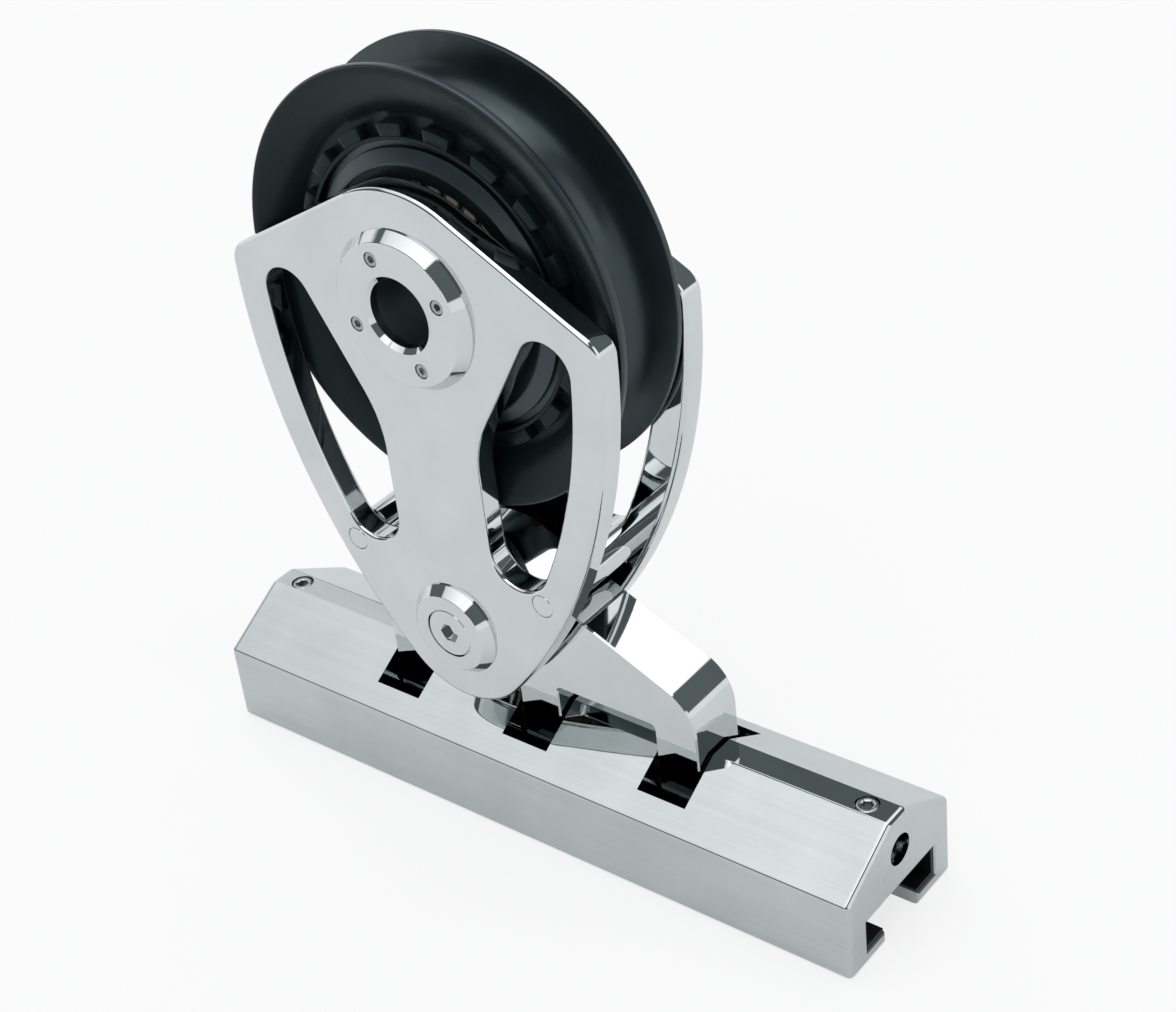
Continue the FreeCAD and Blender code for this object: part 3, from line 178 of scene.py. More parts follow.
@dataclass(frozen=True)
class Finish:
    """A surface finish that becomes one material.

    Attributes:
        name: Name of the real material and how its surface was made.
        tint: sRGB colour of the bare surface.
        roughness: Mean roughness of the surface.
        spread: How far the roughness strays from its mean.
    """

    name: str
    tint: str
    roughness: float
    spread: float

    def start(self) -> tuple[bpy.types.Material, Tree, Socket]:
        """Makes the empty material.

        Returns:
            The material, its node tree and the object coordinates in metres.
        """
        material = bpy.data.materials.new(self.name)
        material.use_nodes = True
        material.diffuse_color = linear(self.tint)
        tree = material.node_tree
        tree.nodes.clear()
        place = add_node(tree, "ShaderNodeTexCoord")
        return material, tree, place.outputs["Object"]

    def finish(self, tree: Tree, surface: dict[str | int, object]) -> None:
        """Adds the shader, with its values and links, and the output."""
        shader = add_node(tree, "ShaderNodeBsdfPrincipled", None, surface)
        add_node(tree, "ShaderNodeOutputMaterial", None, {"Surface": shader.outputs["BSDF"]})

    def spread_by(self, tree: Tree, factor: Socket) -> Socket:
        """Turns a noise into the roughness of the surface.

        Args:
            tree: Node tree of the material.
            factor: Noise from zero to one.

        Returns:
            Roughness from the mean less the spread to the mean plus the spread.
        """
        limits = {
            "Value": factor,
            "From Min": NOISE_LOW,
            "From Max": NOISE_HIGH,
            "To Min": self.roughness - self.spread,
            "To Max": self.roughness + self.spread,
        }
        return add_node(tree, MAP_RANGE, None, limits).outputs[0]

    def build(self) -> bpy.types.Material:
        """Makes the material."""
        raise NotImplementedError

    def material(self) -> bpy.types.Material:
        """Finds the material of this finish, or makes it the first time."""
        found = bpy.data.materials.get(self.name)
        return found if found else self.build()


@dataclass(frozen=True)
class MirrorSteel(Finish):
    """Stainless steel polished on a felt wheel: a mirror with faint waves and wipe marks.

    Attributes:
        wave_mm: Spacing of the shallow waves that polishing leaves.
        wave_depth_mm: Depth of those waves.
        wipe_mm: Size of the patches that wiping leaves.
        veil: sRGB colour where wiping has left the surface brightest.
        streak: How much light the belt's streaks along X take away where they are strongest.
        streak_mm: Length and width of a streak, drawn as wide as the render can show.
    """

    wave_mm: float = 9.0
    wave_depth_mm: float = 0.0025
    wipe_mm: float = 26.0
    veil: str = "#DCE0E1"
    streak: float = 0.0
    streak_mm: tuple[float, float] = (160.0, 1.9)

    def build(self) -> bpy.types.Material:
        """Makes the material.

        Returns:
            The finished material.
        """
        material, tree, place = self.start()
        wiped = {"Vector": place, "Scale": scale_of(self.wipe_mm), "Detail": 4.0}
        wipe = add_node(tree, NOISE, None, wiped).outputs[0]
        waved = {"Vector": place, "Scale": scale_of(self.wave_mm), "Detail": 1.0}
        wave = add_node(tree, NOISE, None, waved).outputs[0]
        relief = {"Strength": 1.0, "Distance": self.wave_depth_mm * MM, "Height": wave}
        haze = {"Factor": wipe, 6: linear(self.tint), 7: linear(self.veil)}
        colour = add_node(tree, "ShaderNodeMix", {"data_type": "RGBA"}, haze).outputs[2]
        if self.streak:
            shade = {"Color": colour, "Value": self._belt_marks(tree, place)}
            colour = add_node(tree, TINTED, None, shade).outputs[0]
        surface = {
            "Base Color": colour,
            "Metallic": 1.0,
            "Roughness": self.spread_by(tree, wipe),
            "Normal": add_node(tree, BUMP, None, relief).outputs[0],
        }
        self.finish(tree, surface)
        return material

    def _belt_marks(self, tree: Tree, place: Socket) -> Socket:
        """Draws the streaks that a polishing belt leaves along X.

        Args:
            tree: Node tree of the material.
            place: Coordinates in metres.

        Returns:
            Brightness, one beside the streaks and less in them.
        """
        long, wide = (scale_of(size) for size in self.streak_mm)
        drawn = {"Vector": place, "Scale": (long, wide, wide)}
        along = add_node(tree, "ShaderNodeMapping", None, drawn).outputs[0]
        mark = {"Vector": along, "Scale": 1.0, "Detail": 3.0, "Roughness": 0.6}
        # A streak grows from nothing to its full strength between these values of the noise.
        faint, strong = 0.35, 0.65
        belt = {
            "Value": add_node(tree, NOISE, None, mark).outputs[0],
            "From Min": faint,
            "From Max": strong,
            "To Min": 1.0,
            "To Max": 1.0 - self.streak,
        }
        return add_node(tree, MAP_RANGE, None, belt).outputs[0]


@dataclass(frozen=True)
class TurnedMetal(Finish):
    """Metal turned on a lathe: fine rings about its axis that stretch the highlights.

    Attributes:
        metallic: One for bare metal, nothing for an oxide layer over it.
        ring_mm: Spacing of the tool marks, drawn as coarse as the render can show.
        ring_depth_mm: Depth of the tool marks.
        blotch_mm: Size of the patches where the roughness strays.
        grain: Axis that the rings run round.
        centre: Point of that axis.
        gloss: Strength of the oxide's own gloss.
        sheen_tint: sRGB tint of that gloss.
    """

    metallic: float = 1.0
    ring_mm: float = 0.5
    ring_depth_mm: float = 0.002
    blotch_mm: float = 12.0
    grain: Grain = Grain.ROUND_Y
    centre: Point = (0.0, 0.0, 0.0)
    gloss: float = 0.5
    sheen_tint: str = WHITE

    def build(self) -> bpy.types.Material:
        """Makes the material.

        Returns:
            The finished material.
        """
        material, tree, place = self.start()
        less = {"operation": "SUBTRACT"}
        shifted = add_node(tree, VECTOR_MATH, less, {0: place, 1: self.centre}).outputs[0]
        laid = {"Vector": shifted, "Rotation": self.grain.value}
        marks = {
            "Vector": add_node(tree, "ShaderNodeMapping", None, laid).outputs[0],
            "Scale": WAVE_PERIOD / (self.ring_mm * MM),
            "Distortion": 0.6,
            "Detail": 1.0,
        }
        rings = {"wave_type": "RINGS", "rings_direction": "Z", "wave_profile": "SIN"}
        height = add_node(tree, "ShaderNodeTexWave", rings, marks).outputs[1]
        relief = {"Strength": 1.0, "Distance": self.ring_depth_mm * MM, "Height": height}
        patches = {"Vector": place, "Scale": scale_of(self.blotch_mm), "Detail": 3.0}
        surface = {
            "Base Color": linear(self.tint),
            "Metallic": self.metallic,
            "Roughness": self.spread_by(tree, add_node(tree, NOISE, None, patches).outputs[0]),
            "Specular IOR Level": self.gloss,
            "Specular Tint": linear(self.sheen_tint),
            "Normal": add_node(tree, BUMP, None, relief).outputs[0],
        }
        self.finish(tree, surface)
        return material


@dataclass(frozen=True)
class MouldedPlastic(Finish):
    """Moulded bearing plastic: even colour, a fine texture from the mould, a soft gloss.

    Attributes:
        texture_mm: Size of the mould's grain, drawn as coarse as the render can show.
        texture_depth_mm: Depth of that grain.
        mottle_mm: Size of the patches where the brightness strays.
        mottle: How far the brightness strays from one.
    """

    texture_mm: float = 0.8
    texture_depth_mm: float = 0.004
    mottle_mm: float = 7.0
    mottle: float = 0.15

    def build(self) -> bpy.types.Material:
        """Makes the material.

        Returns:
            The finished material.
        """
        material, tree, place = self.start()
        grain = {"Vector": place, "Scale": scale_of(self.texture_mm), "Detail": 3.0}
        texture = add_node(tree, NOISE, None, grain).outputs[0]
        relief = {"Strength": 1.0, "Distance": self.texture_depth_mm * MM, "Height": texture}
        patches = {"Vector": place, "Scale": scale_of(self.mottle_mm), "Detail": 2.0}
        limits = {
            "Value": add_node(tree, NOISE, None, patches).outputs[0],
            "To Min": 1.0 - self.mottle,
            "To Max": 1.0 + self.mottle,
        }
        shade = {
            "Color": linear(self.tint),
            "Value": add_node(tree, MAP_RANGE, None, limits).outputs[0],
        }
        surface = {
            "Base Color": add_node(tree, TINTED, None, shade).outputs[0],
            "Roughness": self.spread_by(tree, texture),
            "Normal": add_node(tree, BUMP, None, relief).outputs[0],
        }
        self.finish(tree, surface)
        return material


# Cast stainless steel buffed to a mirror: it shows the studio sharply, under a veil of wiping.
POLISHED = MirrorSteel("stainless_steel_mirror_polished", "#C8CDCE", 0.035, 0.02)
# The same steel polished lengthways: a shade darker, with long faint streaks of the belt.
BELT_POLISHED = replace(
    POLISHED, name="stainless_steel_belt_polished", tint="#BBC2C3", veil="#D0D6D7", streak=0.05
)
# Stainless screws from the bar: duller than the castings, so their heads stand out from them.
SCREW_STEEL = TurnedMetal("stainless_steel_screw", "#A3ABAD", 0.16, 0.05, ring_mm=0.6)
# Turned stainless steel: fine rings that draw the highlights out.
AXLE_STEEL = TurnedMetal("stainless_steel_turned", "#B9BDBF", 0.22, 0.06, centre=AXLE)
# Stainless steel left as drilled: half matt with coarse rings, and a tint darkened as painted
# shade, so the axle's hole looks hollow.
BORED_STEEL_PAINTED_SHADE = TurnedMetal(
    "stainless_steel_bored_painted_shade", "#7C878B", 0.45, 0.08, ring_mm=1.2, ring_depth_mm=0.01, centre=AXLE
)
# The hinge pin as it comes from the bar: the same darkened grey, painted shade of the hollows that
# it lies in, with rings about the hinge's axis.
PIN_STEEL_PAINTED_SHADE = replace(
    BORED_STEEL_PAINTED_SHADE, name="stainless_steel_bar_painted_shade", grain=Grain.ROUND_X, centre=HINGE
)
# Turned aluminium, hard anodised black: a blue-black oxide with a satin gloss and tool marks.
ANODISED = TurnedMetal(
    "aluminium_black_hard_anodised",
    "#182023",
    0.3,
    0.05,
    metallic=0.0,
    ring_mm=0.9,
    ring_depth_mm=0.0012,
    centre=AXLE,
    gloss=0.19,
    sheen_tint="#C2E2EC",
)
# The same oxide where the wheel was turned finer: glossier, with broad soft highlights.
FINE_ANODISED = replace(
    ANODISED,
    name="aluminium_black_anodised_fine_turned",
    tint="#0E1518",
    roughness=0.33,
    gloss=1.0,
    sheen_tint="#CDE6F0",
)
# Sintered bronze, dark with oil: a dull brown line between the steel parts.
BRONZE = TurnedMetal("bearing_bronze_oiled", "#4A3A2A", 0.36, 0.08)
# Black acetal from the mould: an even, slightly grained black.
BLACK_ACETAL = MouldedPlastic("acetal_black_moulded", "#101415", 0.36, 0.08)
# Brown bearing resin with smooth sides, its brown lightened as painted light against the shade of
# the bearing's recess.
BROWN_RESIN = MouldedPlastic(
    "polyamide_imide_brown_moulded", "#93795A", 0.3, 0.08, texture_mm=1.6
)
# Pale ends of the rollers: a painted highlight on each cut end.
PAINTED_HIGHLIGHT_RESIN = MouldedPlastic("polyamide_imide_ends_painted_highlight", "#EFE6CF", 0.38, 0.08, texture_mm=0.6)


@dataclass(frozen=True)
class Group:
    """Pieces of one body that share their finishes.

    Attributes:
        body: Name of the CAD body that they ride on.
        wear: Finish of each CAD node, by node name.
    """

    body: str
    wear: dict[str, Finish]

    def dress(self, frame: dict) -> None:
        """Gives every CAD node of the group its finish.
        """
        for name, finish in self.wear.items():
            node = frame["nodes"][name]
            node.data.materials.clear()
            node.data.materials.append(finish.material())
            LOG.info("%s: %s on %s", self.body, finish.name, name)


GROUPS = (
    Group("car", {
        "car_body": BELT_POLISHED,
        "near_slider": BLACK_ACETAL,
        "far_slider": BLACK_ACETAL,
        "hinge_pin": PIN_STEEL_PAINTED_SHADE,
        "lock_screw_left": SCREW_STEEL,
        "lock_screw_right": SCREW_STEEL,
    }),
    Group("bracket", {
        "swivel_bracket": POLISHED,
        "hinge_bush_left": BRONZE,
        "hinge_bush_centre": BRONZE,
        "hinge_bush_right": BRONZE,
        "near_pivot_bush": BRONZE,
        "far_pivot_bush": BRONZE,
    }),
    Group("block", {
        "near_side_plate": POLISHED,
        "far_side_plate": POLISHED,
        "near_axle_cap": POLISHED,
        "far_axle_cap": POLISHED,
        "near_pivot_cap": POLISHED,
        "far_pivot_cap": POLISHED,
        "axle": BORED_STEEL_PAINTED_SHADE,
        "pivot_pin": AXLE_STEEL,
        "inner_race": AXLE_STEEL,
        "left_tie_rod": POLISHED,
        "right_tie_rod": POLISHED,
        "near_cap_screws": SCREW_STEEL,
        "far_cap_screws": SCREW_STEEL,
        "near_pivot_screw": POLISHED,
        "far_pivot_screw": POLISHED,
    }),
    Group("sheave_group", {"sheave": ANODISED, "outer_race": ANODISED}),
    Group("cage_group", {"roller_cage": BLACK_ACETAL, "rollers": BROWN_RESIN}),
)


def finish_piece(piece: Piece, name: str, node: str, body: str) -> Piece:
    """Names a finished piece and lets it stand for a CAD node.

    Args:
        piece: The finished mesh object.
        name: Name of the piece.
        node: CAD node that it stands for.
        body: Body that it rides on.

    Returns:
        The same object.
    """
    piece.name = name
    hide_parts(node)
    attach(piece, body)
    return piece


def join_all(parts: list[Piece]) -> Piece:
    """Joins objects into one mesh.

    Args:
        parts: Two or more objects, whose places are in their meshes.

    Returns:
        The joined object.
    """
    deselect_all()
    for part in parts:
        part.select_set(True)
    bpy.context.view_layer.objects.active = parts[0]
    bpy.ops.object.join()
    return bpy.context.object


def placed_copy(model: Piece, place: Matrix) -> Piece:
    """Copies a model with a mesh of its own.

    Args:
        model: The model.
        place: Where the copy goes, put into its mesh.

    Returns:
        The copy.
    """
    copy = model.copy()
    copy.data = model.data.copy()
    copy.data.transform(place)
    bpy.context.scene.collection.objects.link(copy)
    return copy


@dataclass(frozen=True)
class Sheave:
    """The rope wheel: dished sides, toothed rings, a coned hub and a deep round groove.

    Attributes:
        centre: Middle of the wheel, whose axis lies along Y.
        rim: Radius of the rims.
        half: Half the width over the rims.
        crest: Height of the rims' finely turned crests.
        groove_bottom: Radius of the middle of the groove's bottom.
        groove_round: Radius of the groove's round bottom.
        groove_lean: Lean of the groove's sides.
        teeth: Teeth round a ring.
        gap: Gap between two teeth.
        tooth_edge: Bevel of a tooth's edges.
        ring: Inner, root and outer radius of a toothed ring.
        ring_half: Half the width over the toothed rings.
        floor_half: Floor of the recess round the ring, from the middle plane.
        floor_end: Radius where that floor turns out into the dish.
        dish_knee: Distance from the middle plane and radius where the dish flattens out.
        dish_end: Radius where the dish meets the rim's side.
        hub: Radius of the bore, of the hub's flat and of its cone's foot.
        hub_half: Half the width over the hub.
        cone_half: Half the width at the foot of its cone.
        gutter_half: Floor between the hub and the ring, from the middle plane.
        rounds: Rounding at the floor's end, the knee, the dish's end, the rim and the groove.
        steps: Facets round the wheel.
    """

    centre: Point = AXLE
    rim: float = 0.080
    half: float = 0.0163
    crest: float = 0.0008
    groove_bottom: float = 0.062
    groove_round: float = 0.012
    groove_lean: float = math.radians(13.0)
    teeth: int = 18
    gap: float = 0.0094
    tooth_edge: float = 0.00035
    ring: tuple[float, float, float] = (0.053, 0.0545, 0.059)
    ring_half: float = 0.0128
    floor_half: float = 0.0084
    floor_end: float = 0.0612
    dish_knee: tuple[float, float] = (0.0133, 0.0680)
    dish_end: float = 0.0772
    hub: tuple[float, float, float] = (0.04503, 0.046, 0.0505)
    hub_half: float = 0.0146
    cone_half: float = 0.0122
    gutter_half: float = 0.0100
    rounds: tuple[float, ...] = (0.004, 0.030, 0.012, 0.0014, 0.0005)
    steps: int = 160

    def build(self, sides: Finish, fine: Finish) -> Piece:
        """Makes the wheel with its teeth.

        Args:
            sides: Finish of the dished sides and the teeth.
            fine: Finish of the groove, the crests and the hub.

        Returns:
            The piece.
        """
        parts = [self._blank()]
        tooth = self._tooth()
        for number in range(self.teeth):
            turn = Matrix.Rotation(2 * math.pi * (number + 0.5) / self.teeth, 4, "Y")
            parts.append(placed_copy(tooth, turn))
            parts.append(placed_copy(tooth, Matrix.Rotation(math.pi, 4, "Z") @ turn))
        bpy.data.objects.remove(tooth)
        wheel = join_all(parts)
        wheel.data.materials.clear()
        wheel.data.materials.append(sides.material())
        wheel.data.materials.append(fine.material())
        for face in wheel.data.polygons:
            across, radius = abs(face.center.y), math.hypot(face.center.x, face.center.z)
            face.material_index = int(self._turned_fine(across, radius))
        wheel.data.transform(Matrix.Translation(self.centre))
        bpy.ops.object.shade_smooth_by_angle(angle=math.radians(33.0))
        return finish_piece(wheel, "sheave_wheel", "sheave", "sheave_group")

    def _lip(self) -> tuple[float, float]:
        """Finds where the groove's round bottom meets its straight side.

        Returns:
            Distance from the middle plane, and radius.
        """
        across = self.groove_round * math.cos(self.groove_lean)
        above = self.groove_round * (1 - math.sin(self.groove_lean))
        return across, self.groove_bottom + above

    def _turned_fine(self, across: float, radius: float) -> bool:
        """Tells whether a face lies in the groove, on a rim's crest or on the hub.

        Args:
            across: Distance of its middle from the middle plane.
            radius: Radius of its middle.

        Returns:
            Whether it is one of the surfaces that were turned finer than the sides.
        """
        if radius < self.ring[0] or radius > self.rim - self.crest:
            return True
        # A facet's middle lies less than this off the true curve.
        slack = 0.0003
        lip, lip_radius = self._lip()
        if radius > lip_radius:
            return across < lip + (radius - lip_radius) * math.tan(self.groove_lean) + slack
        middle = self.groove_bottom + self.groove_round
        return math.hypot(across, middle - radius) < self.groove_round + slack

    def _corners(self) -> list[Point]:
        """Lists the corners of half the section.

        Returns:
            Distance from the middle plane, radius and rounding of each corner, from the bore
            to the groove.
        """
        inner, root, _ = self.ring
        bore, land, foot = self.hub
        lip, lip_radius = self._lip()
        brink = lip + (self.rim - lip_radius) * math.tan(self.groove_lean)
        sharp, broken, soft = 0.0002, 0.0003, 0.0004
        at_floor, at_knee, at_side, at_rim, at_groove = self.rounds
        # The ring's land lies a hair below the teeth, so that no two faces share a plane.
        hair = 0.00004
        land_half = self.ring_half - hair
        return [
            (self.hub_half, bore, sharp),
            (self.hub_half, land, soft),
            (self.cone_half, foot, broken),
            (self.gutter_half, foot, broken),
            (self.gutter_half, inner, broken),
            (land_half, inner, soft),
            (land_half, root, sharp),
            (self.floor_half, root, soft),
            (self.floor_half, self.floor_end, at_floor),
            (*self.dish_knee, at_knee),
            (self.half, self.dish_end, at_side),
            (self.half, self.rim, at_rim),
            (brink, self.rim, at_groove),
            (lip, lip_radius, 0.0),
        ]

    @staticmethod
    def _rounded(before: Vector, here: Vector, after: Vector, radius: float) -> list[Vector]:
        """Rounds one corner of the section.

        Args:
            before: The corner before it.
            here: The corner.
            after: The corner after it.
            radius: Radius of the rounding.

        Returns:
            The points of the rounding.
        """
        # A rounding takes less than half of an edge, and turns about this much at each facet.
        most, facet = 0.48, 9.0
        to_before, to_after = (before - here).normalized(), (after - here).normalized()
        bend = math.pi - to_before.angle(to_after)
        room = most * (before - here).length, most * (after - here).length
        reach = min(radius * math.tan(bend / 2), *room)
        count = max(3, round(math.degrees(bend) / facet))
        start, end = here + to_before * reach, here + to_after * reach
        shares = [step / count for step in range(count + 1)]
        return [start.lerp(here, share).lerp(here.lerp(end, share), share) for share in shares]

    def _section(self) -> list[tuple[float, float]]:
        """Rounds the corners of the section and closes it round the groove and the bore.

        Returns:
            Distance from the middle plane and radius of each point.
        """
        corners = self._corners()
        spots = [Vector(corner[:2]) for corner in corners]
        half: list[tuple[float, float]] = []
        for index, (across, radius, round_by) in enumerate(corners[:-1]):
            before = spots[index - 1] if index else Vector((0.0, radius))
            for point in self._rounded(before, spots[index], spots[index + 1], round_by):
                half.append((point.x, point.y))
        half.append(corners[-1][:2])
        middle = self.groove_bottom + self.groove_round
        arc = 24
        spread = math.pi / 2 - self.groove_lean
        for step in range(1, arc):
            angle = spread - 2 * spread * step / arc
            depth = self.groove_round * math.cos(angle)
            half.append((self.groove_round * math.sin(angle), middle - depth))
        one_side = half[: len(half) - arc + 1]
        return half + [(-across, radius) for across, radius in reversed(one_side)]

    def _blank(self) -> Piece:
        """Spins the section round the axle.

        Returns:
            The wheel without teeth, about the origin.
        """
        section = self._section()
        deselect_all()
        bpy.ops.mesh.primitive_circle_add(vertices=len(section), radius=self.rim)
        blank = bpy.context.object
        bpy.ops.object.mode_set(mode="EDIT")
        mesh = bmesh.from_edit_mesh(blank.data)
        ring = [mesh.verts[:][0]]
        while len(ring) < len(section):
            nearby = [edge.other_vert(ring[-1]) for edge in ring[-1].link_edges]
            ring.append(next(vert for vert in nearby if vert not in ring))
        for vert, (across, radius) in zip(ring, section):
            vert.co = (0.0, across, radius)
        bmesh.update_edit_mesh(blank.data)
        bpy.ops.mesh.select_all(action="SELECT")
        bpy.ops.mesh.spin(
            steps=self.steps,
            angle=2 * math.pi,
            center=(0.0, 0.0, 0.0),
            axis=(0.0, 1.0, 0.0),
            use_auto_merge=True,
        )
        bpy.ops.mesh.select_all(action="SELECT")
        bpy.ops.mesh.remove_doubles(threshold=WELD)
        bpy.ops.mesh.normals_make_consistent(inside=False)
        bpy.ops.object.mode_set(mode="OBJECT")
        return blank

    def _tooth(self) -> Piece:
        """Models one tooth of the far ring, above the axle.

        Returns:
            The tooth, about the origin.
        """
        _, root, outer = self.ring
        # The tooth stands this deep in the floor.
        sink = 0.0003
        deselect_all()
        bpy.ops.mesh.primitive_grid_add(x_subdivisions=6, y_subdivisions=2, size=1.0)
        tooth = bpy.context.object
        bpy.ops.object.mode_set(mode="EDIT")
        mesh = bmesh.from_edit_mesh(tooth.data)
        for vert in mesh.verts:
            radius = root + (vert.co.y + 0.5) * (outer - root)
            half_angle = math.pi / self.teeth - math.asin(self.gap / 2 / radius)
            angle = 2 * vert.co.x * half_angle
            foot = self.floor_half - sink
            vert.co = (radius * math.sin(angle), foot, radius * math.cos(angle))
        bmesh.update_edit_mesh(tooth.data)
        bpy.ops.mesh.select_all(action="SELECT")
        height = self.ring_half - self.floor_half + sink
        bpy.ops.mesh.extrude_region_move(TRANSFORM_OT_translate={"value": (0.0, height, 0.0)})
        bpy.ops.mesh.select_all(action="SELECT")
        bpy.ops.mesh.normals_make_consistent(inside=False)
        bpy.ops.object.mode_set(mode="OBJECT")
        edge = tooth.modifiers.new("edge", "BEVEL")
        edge.width = self.tooth_edge
        edge.segments = 2
        edge.limit_method = "ANGLE"
        edge.angle_limit = math.radians(50.0)
        bpy.ops.object.modifier_apply(modifier="edge")
        return tooth


@dataclass(frozen=True)
class SocketScrew:
    """A cap screw with a softened rim and a hexagon socket.

    Attributes:
        head: Radius of the head.
        height: Height of the head.
        key: Width of the hexagon across its flats.
        key_depth: Depth of the hexagon.
        rim: Bevel of the head's rim.
        mouth: Bevel of the hexagon's mouth.
        shank: Radius of the shank.
        length: Length of the shank.
        facets: Facets round the head.
    """

    head: float
    height: float
    key: float
    key_depth: float
    rim: float
    mouth: float
    shank: float
    length: float
    facets: int = 48

    def model(self, finish: Finish) -> Piece:
        """Models one screw that points up, its head's top at the origin.

        Args:
            finish: Finish of the screw.

        Returns:
            The screw.
        """
        deselect_all()
        middle = (0.0, 0.0, -self.height / 2)
        bpy.ops.mesh.primitive_cylinder_add(
            vertices=self.facets, radius=self.head, depth=self.height, location=middle
        )
        screw = bpy.context.object
        bpy.ops.object.transform_apply(location=True, rotation=True, scale=True)
        screw.data.materials.append(finish.material())
        bpy.ops.object.mode_set(mode="EDIT")
        bpy.ops.mesh.select_mode(type="FACE")
        self._select_end(screw, 1.0)
        bpy.ops.mesh.bevel(offset=self.rim, segments=3, affect="EDGES")
        self._select_end(screw, 1.0)
        corner = self.key / math.sqrt(3)
        bpy.ops.mesh.inset(thickness=self.head - self.rim - corner - self.mouth)
        bpy.ops.mesh.inset(thickness=self.mouth)
        self._square_up(screw)
        self._push(-self.key_depth)
        self._select_end(screw, -1.0)
        bpy.ops.mesh.inset(thickness=self.head - self.shank)
        self._push(-self.length)
        bpy.ops.object.mode_set(mode="OBJECT")
        bpy.ops.object.shade_smooth_by_angle(angle=math.radians(32.0))
        return screw

    def _square_up(self, screw: Piece) -> None:
        """Turns the selected round face into the socket's hexagon, a bevel's depth down.

        Args:
            screw: The screw, in edit mode.
        """
        mesh = bmesh.from_edit_mesh(screw.data)
        for face in mesh.faces:
            if face.select:
                for vert in face.verts:
                    angle = math.atan2(vert.co.y, vert.co.x)
                    off = (angle + math.pi / 6) % (math.pi / 3) - math.pi / 6
                    radius = self.key / 2 / math.cos(off)
                    vert.co = (radius * math.cos(angle), radius * math.sin(angle), -self.mouth)
        bmesh.update_edit_mesh(screw.data)

    def _push(self, height: float) -> None:
        """Extrudes the selected face upwards by a height, or downwards by a negative one."""
        bpy.ops.mesh.extrude_region_move(TRANSFORM_OT_translate={"value": (0.0, 0.0, height)})

    def _select_end(self, screw: Piece, sign: float) -> None:
        """Selects the flat face at the top or at the bottom.

        Args:
            screw: The screw, in edit mode.
            sign: One for the top, minus one for the bottom.
        """
        bpy.ops.mesh.select_all(action="DESELECT")
        mesh = bmesh.from_edit_mesh(screw.data)
        for face in mesh.faces:
            face.select = len(face.verts) > ROUND_FACE and face.normal.z * sign > FACING
        bmesh.update_edit_mesh(screw.data)


@dataclass(frozen=True)
class CapScrews:
    """The screws of one axle cap.

    Attributes:
        side: Side of the block that the cap is on.
        centre: Axle at the middle plane.
        circle: Radius of the screw circle.
        turn: Turn of the screw circle.
        face: Distance of the heads' tops from the middle plane.
        first_key: Turn of the first screw's socket.
        next_key: What each next socket is turned by, as screws stop at chance.
        screw: Sizes of one screw.
    """

    side: Side
    centre: Point = AXLE
    circle: float = 0.0203
    turn: float = math.radians(22.1)
    face: float = 0.0323
    first_key: float = 0.4
    next_key: float = 0.7
    screw: SocketScrew = SocketScrew(
        head=0.0027,
        height=0.0025,
        key=0.0025,
        key_depth=0.0014,
        rim=0.0005,
        mouth=0.00015,
        shank=0.0015,
        length=0.008,
    )

    def build(self, finish: Finish) -> Piece:
        """Makes the four screws of one cap as one piece.

        Args:
            finish: Finish of the screws.

        Returns:
            The piece.
        """
        model = self.screw.model(finish)
        sign = self.side.value
        lay = Matrix.Rotation(-sign * math.pi / 2, 4, "X")
        parts = []
        for quarter in range(4):
            angle = self.turn + quarter * math.pi / 2
            spot = (
                self.centre[0] - self.circle * math.cos(angle),
                sign * self.face,
                self.centre[2] - self.circle * math.sin(angle),
            )
            spin = Matrix.Rotation(self.first_key + quarter * self.next_key, 4, "Z")
            parts.append(placed_copy(model, Matrix.Translation(spot) @ lay @ spin))
        bpy.data.objects.remove(model)
        name = self.side.name.lower()
        piece = join_all(parts)
        return finish_piece(
            piece, name + "_cap_screw_set", name + "_cap_screws", "block"
        )


@dataclass(frozen=True)
class LockScrew:
    """A screw in the ridge that keeps the hinge pin in.

    Attributes:
        end: End of the car that it is at.
        place: Distance from the car's middle.
        top: Height of the head's top.
        screw: Sizes of the screw.
    """

    end: End
    place: float = 0.1317
    top: float = 0.0488
    screw: SocketScrew = SocketScrew(
        head=0.0042,
        height=0.004,
        key=0.004,
        key_depth=0.0024,
        rim=0.0008,
        mouth=0.0003,
        shank=0.00275,
        length=0.0133,
    )

    def build(self, finish: Finish) -> Piece:
        """Makes the screw.

        Args:
            finish: Finish of the screw.

        Returns:
            The piece.
        """
        model = self.screw.model(finish)
        model.data.transform(Matrix.Translation((self.end.value * self.place, 0.0, self.top)))
        name = self.end.name.lower()
        return finish_piece(
            model, name + "_lock_cap_screw", "lock_screw_" + name, "car"
        )


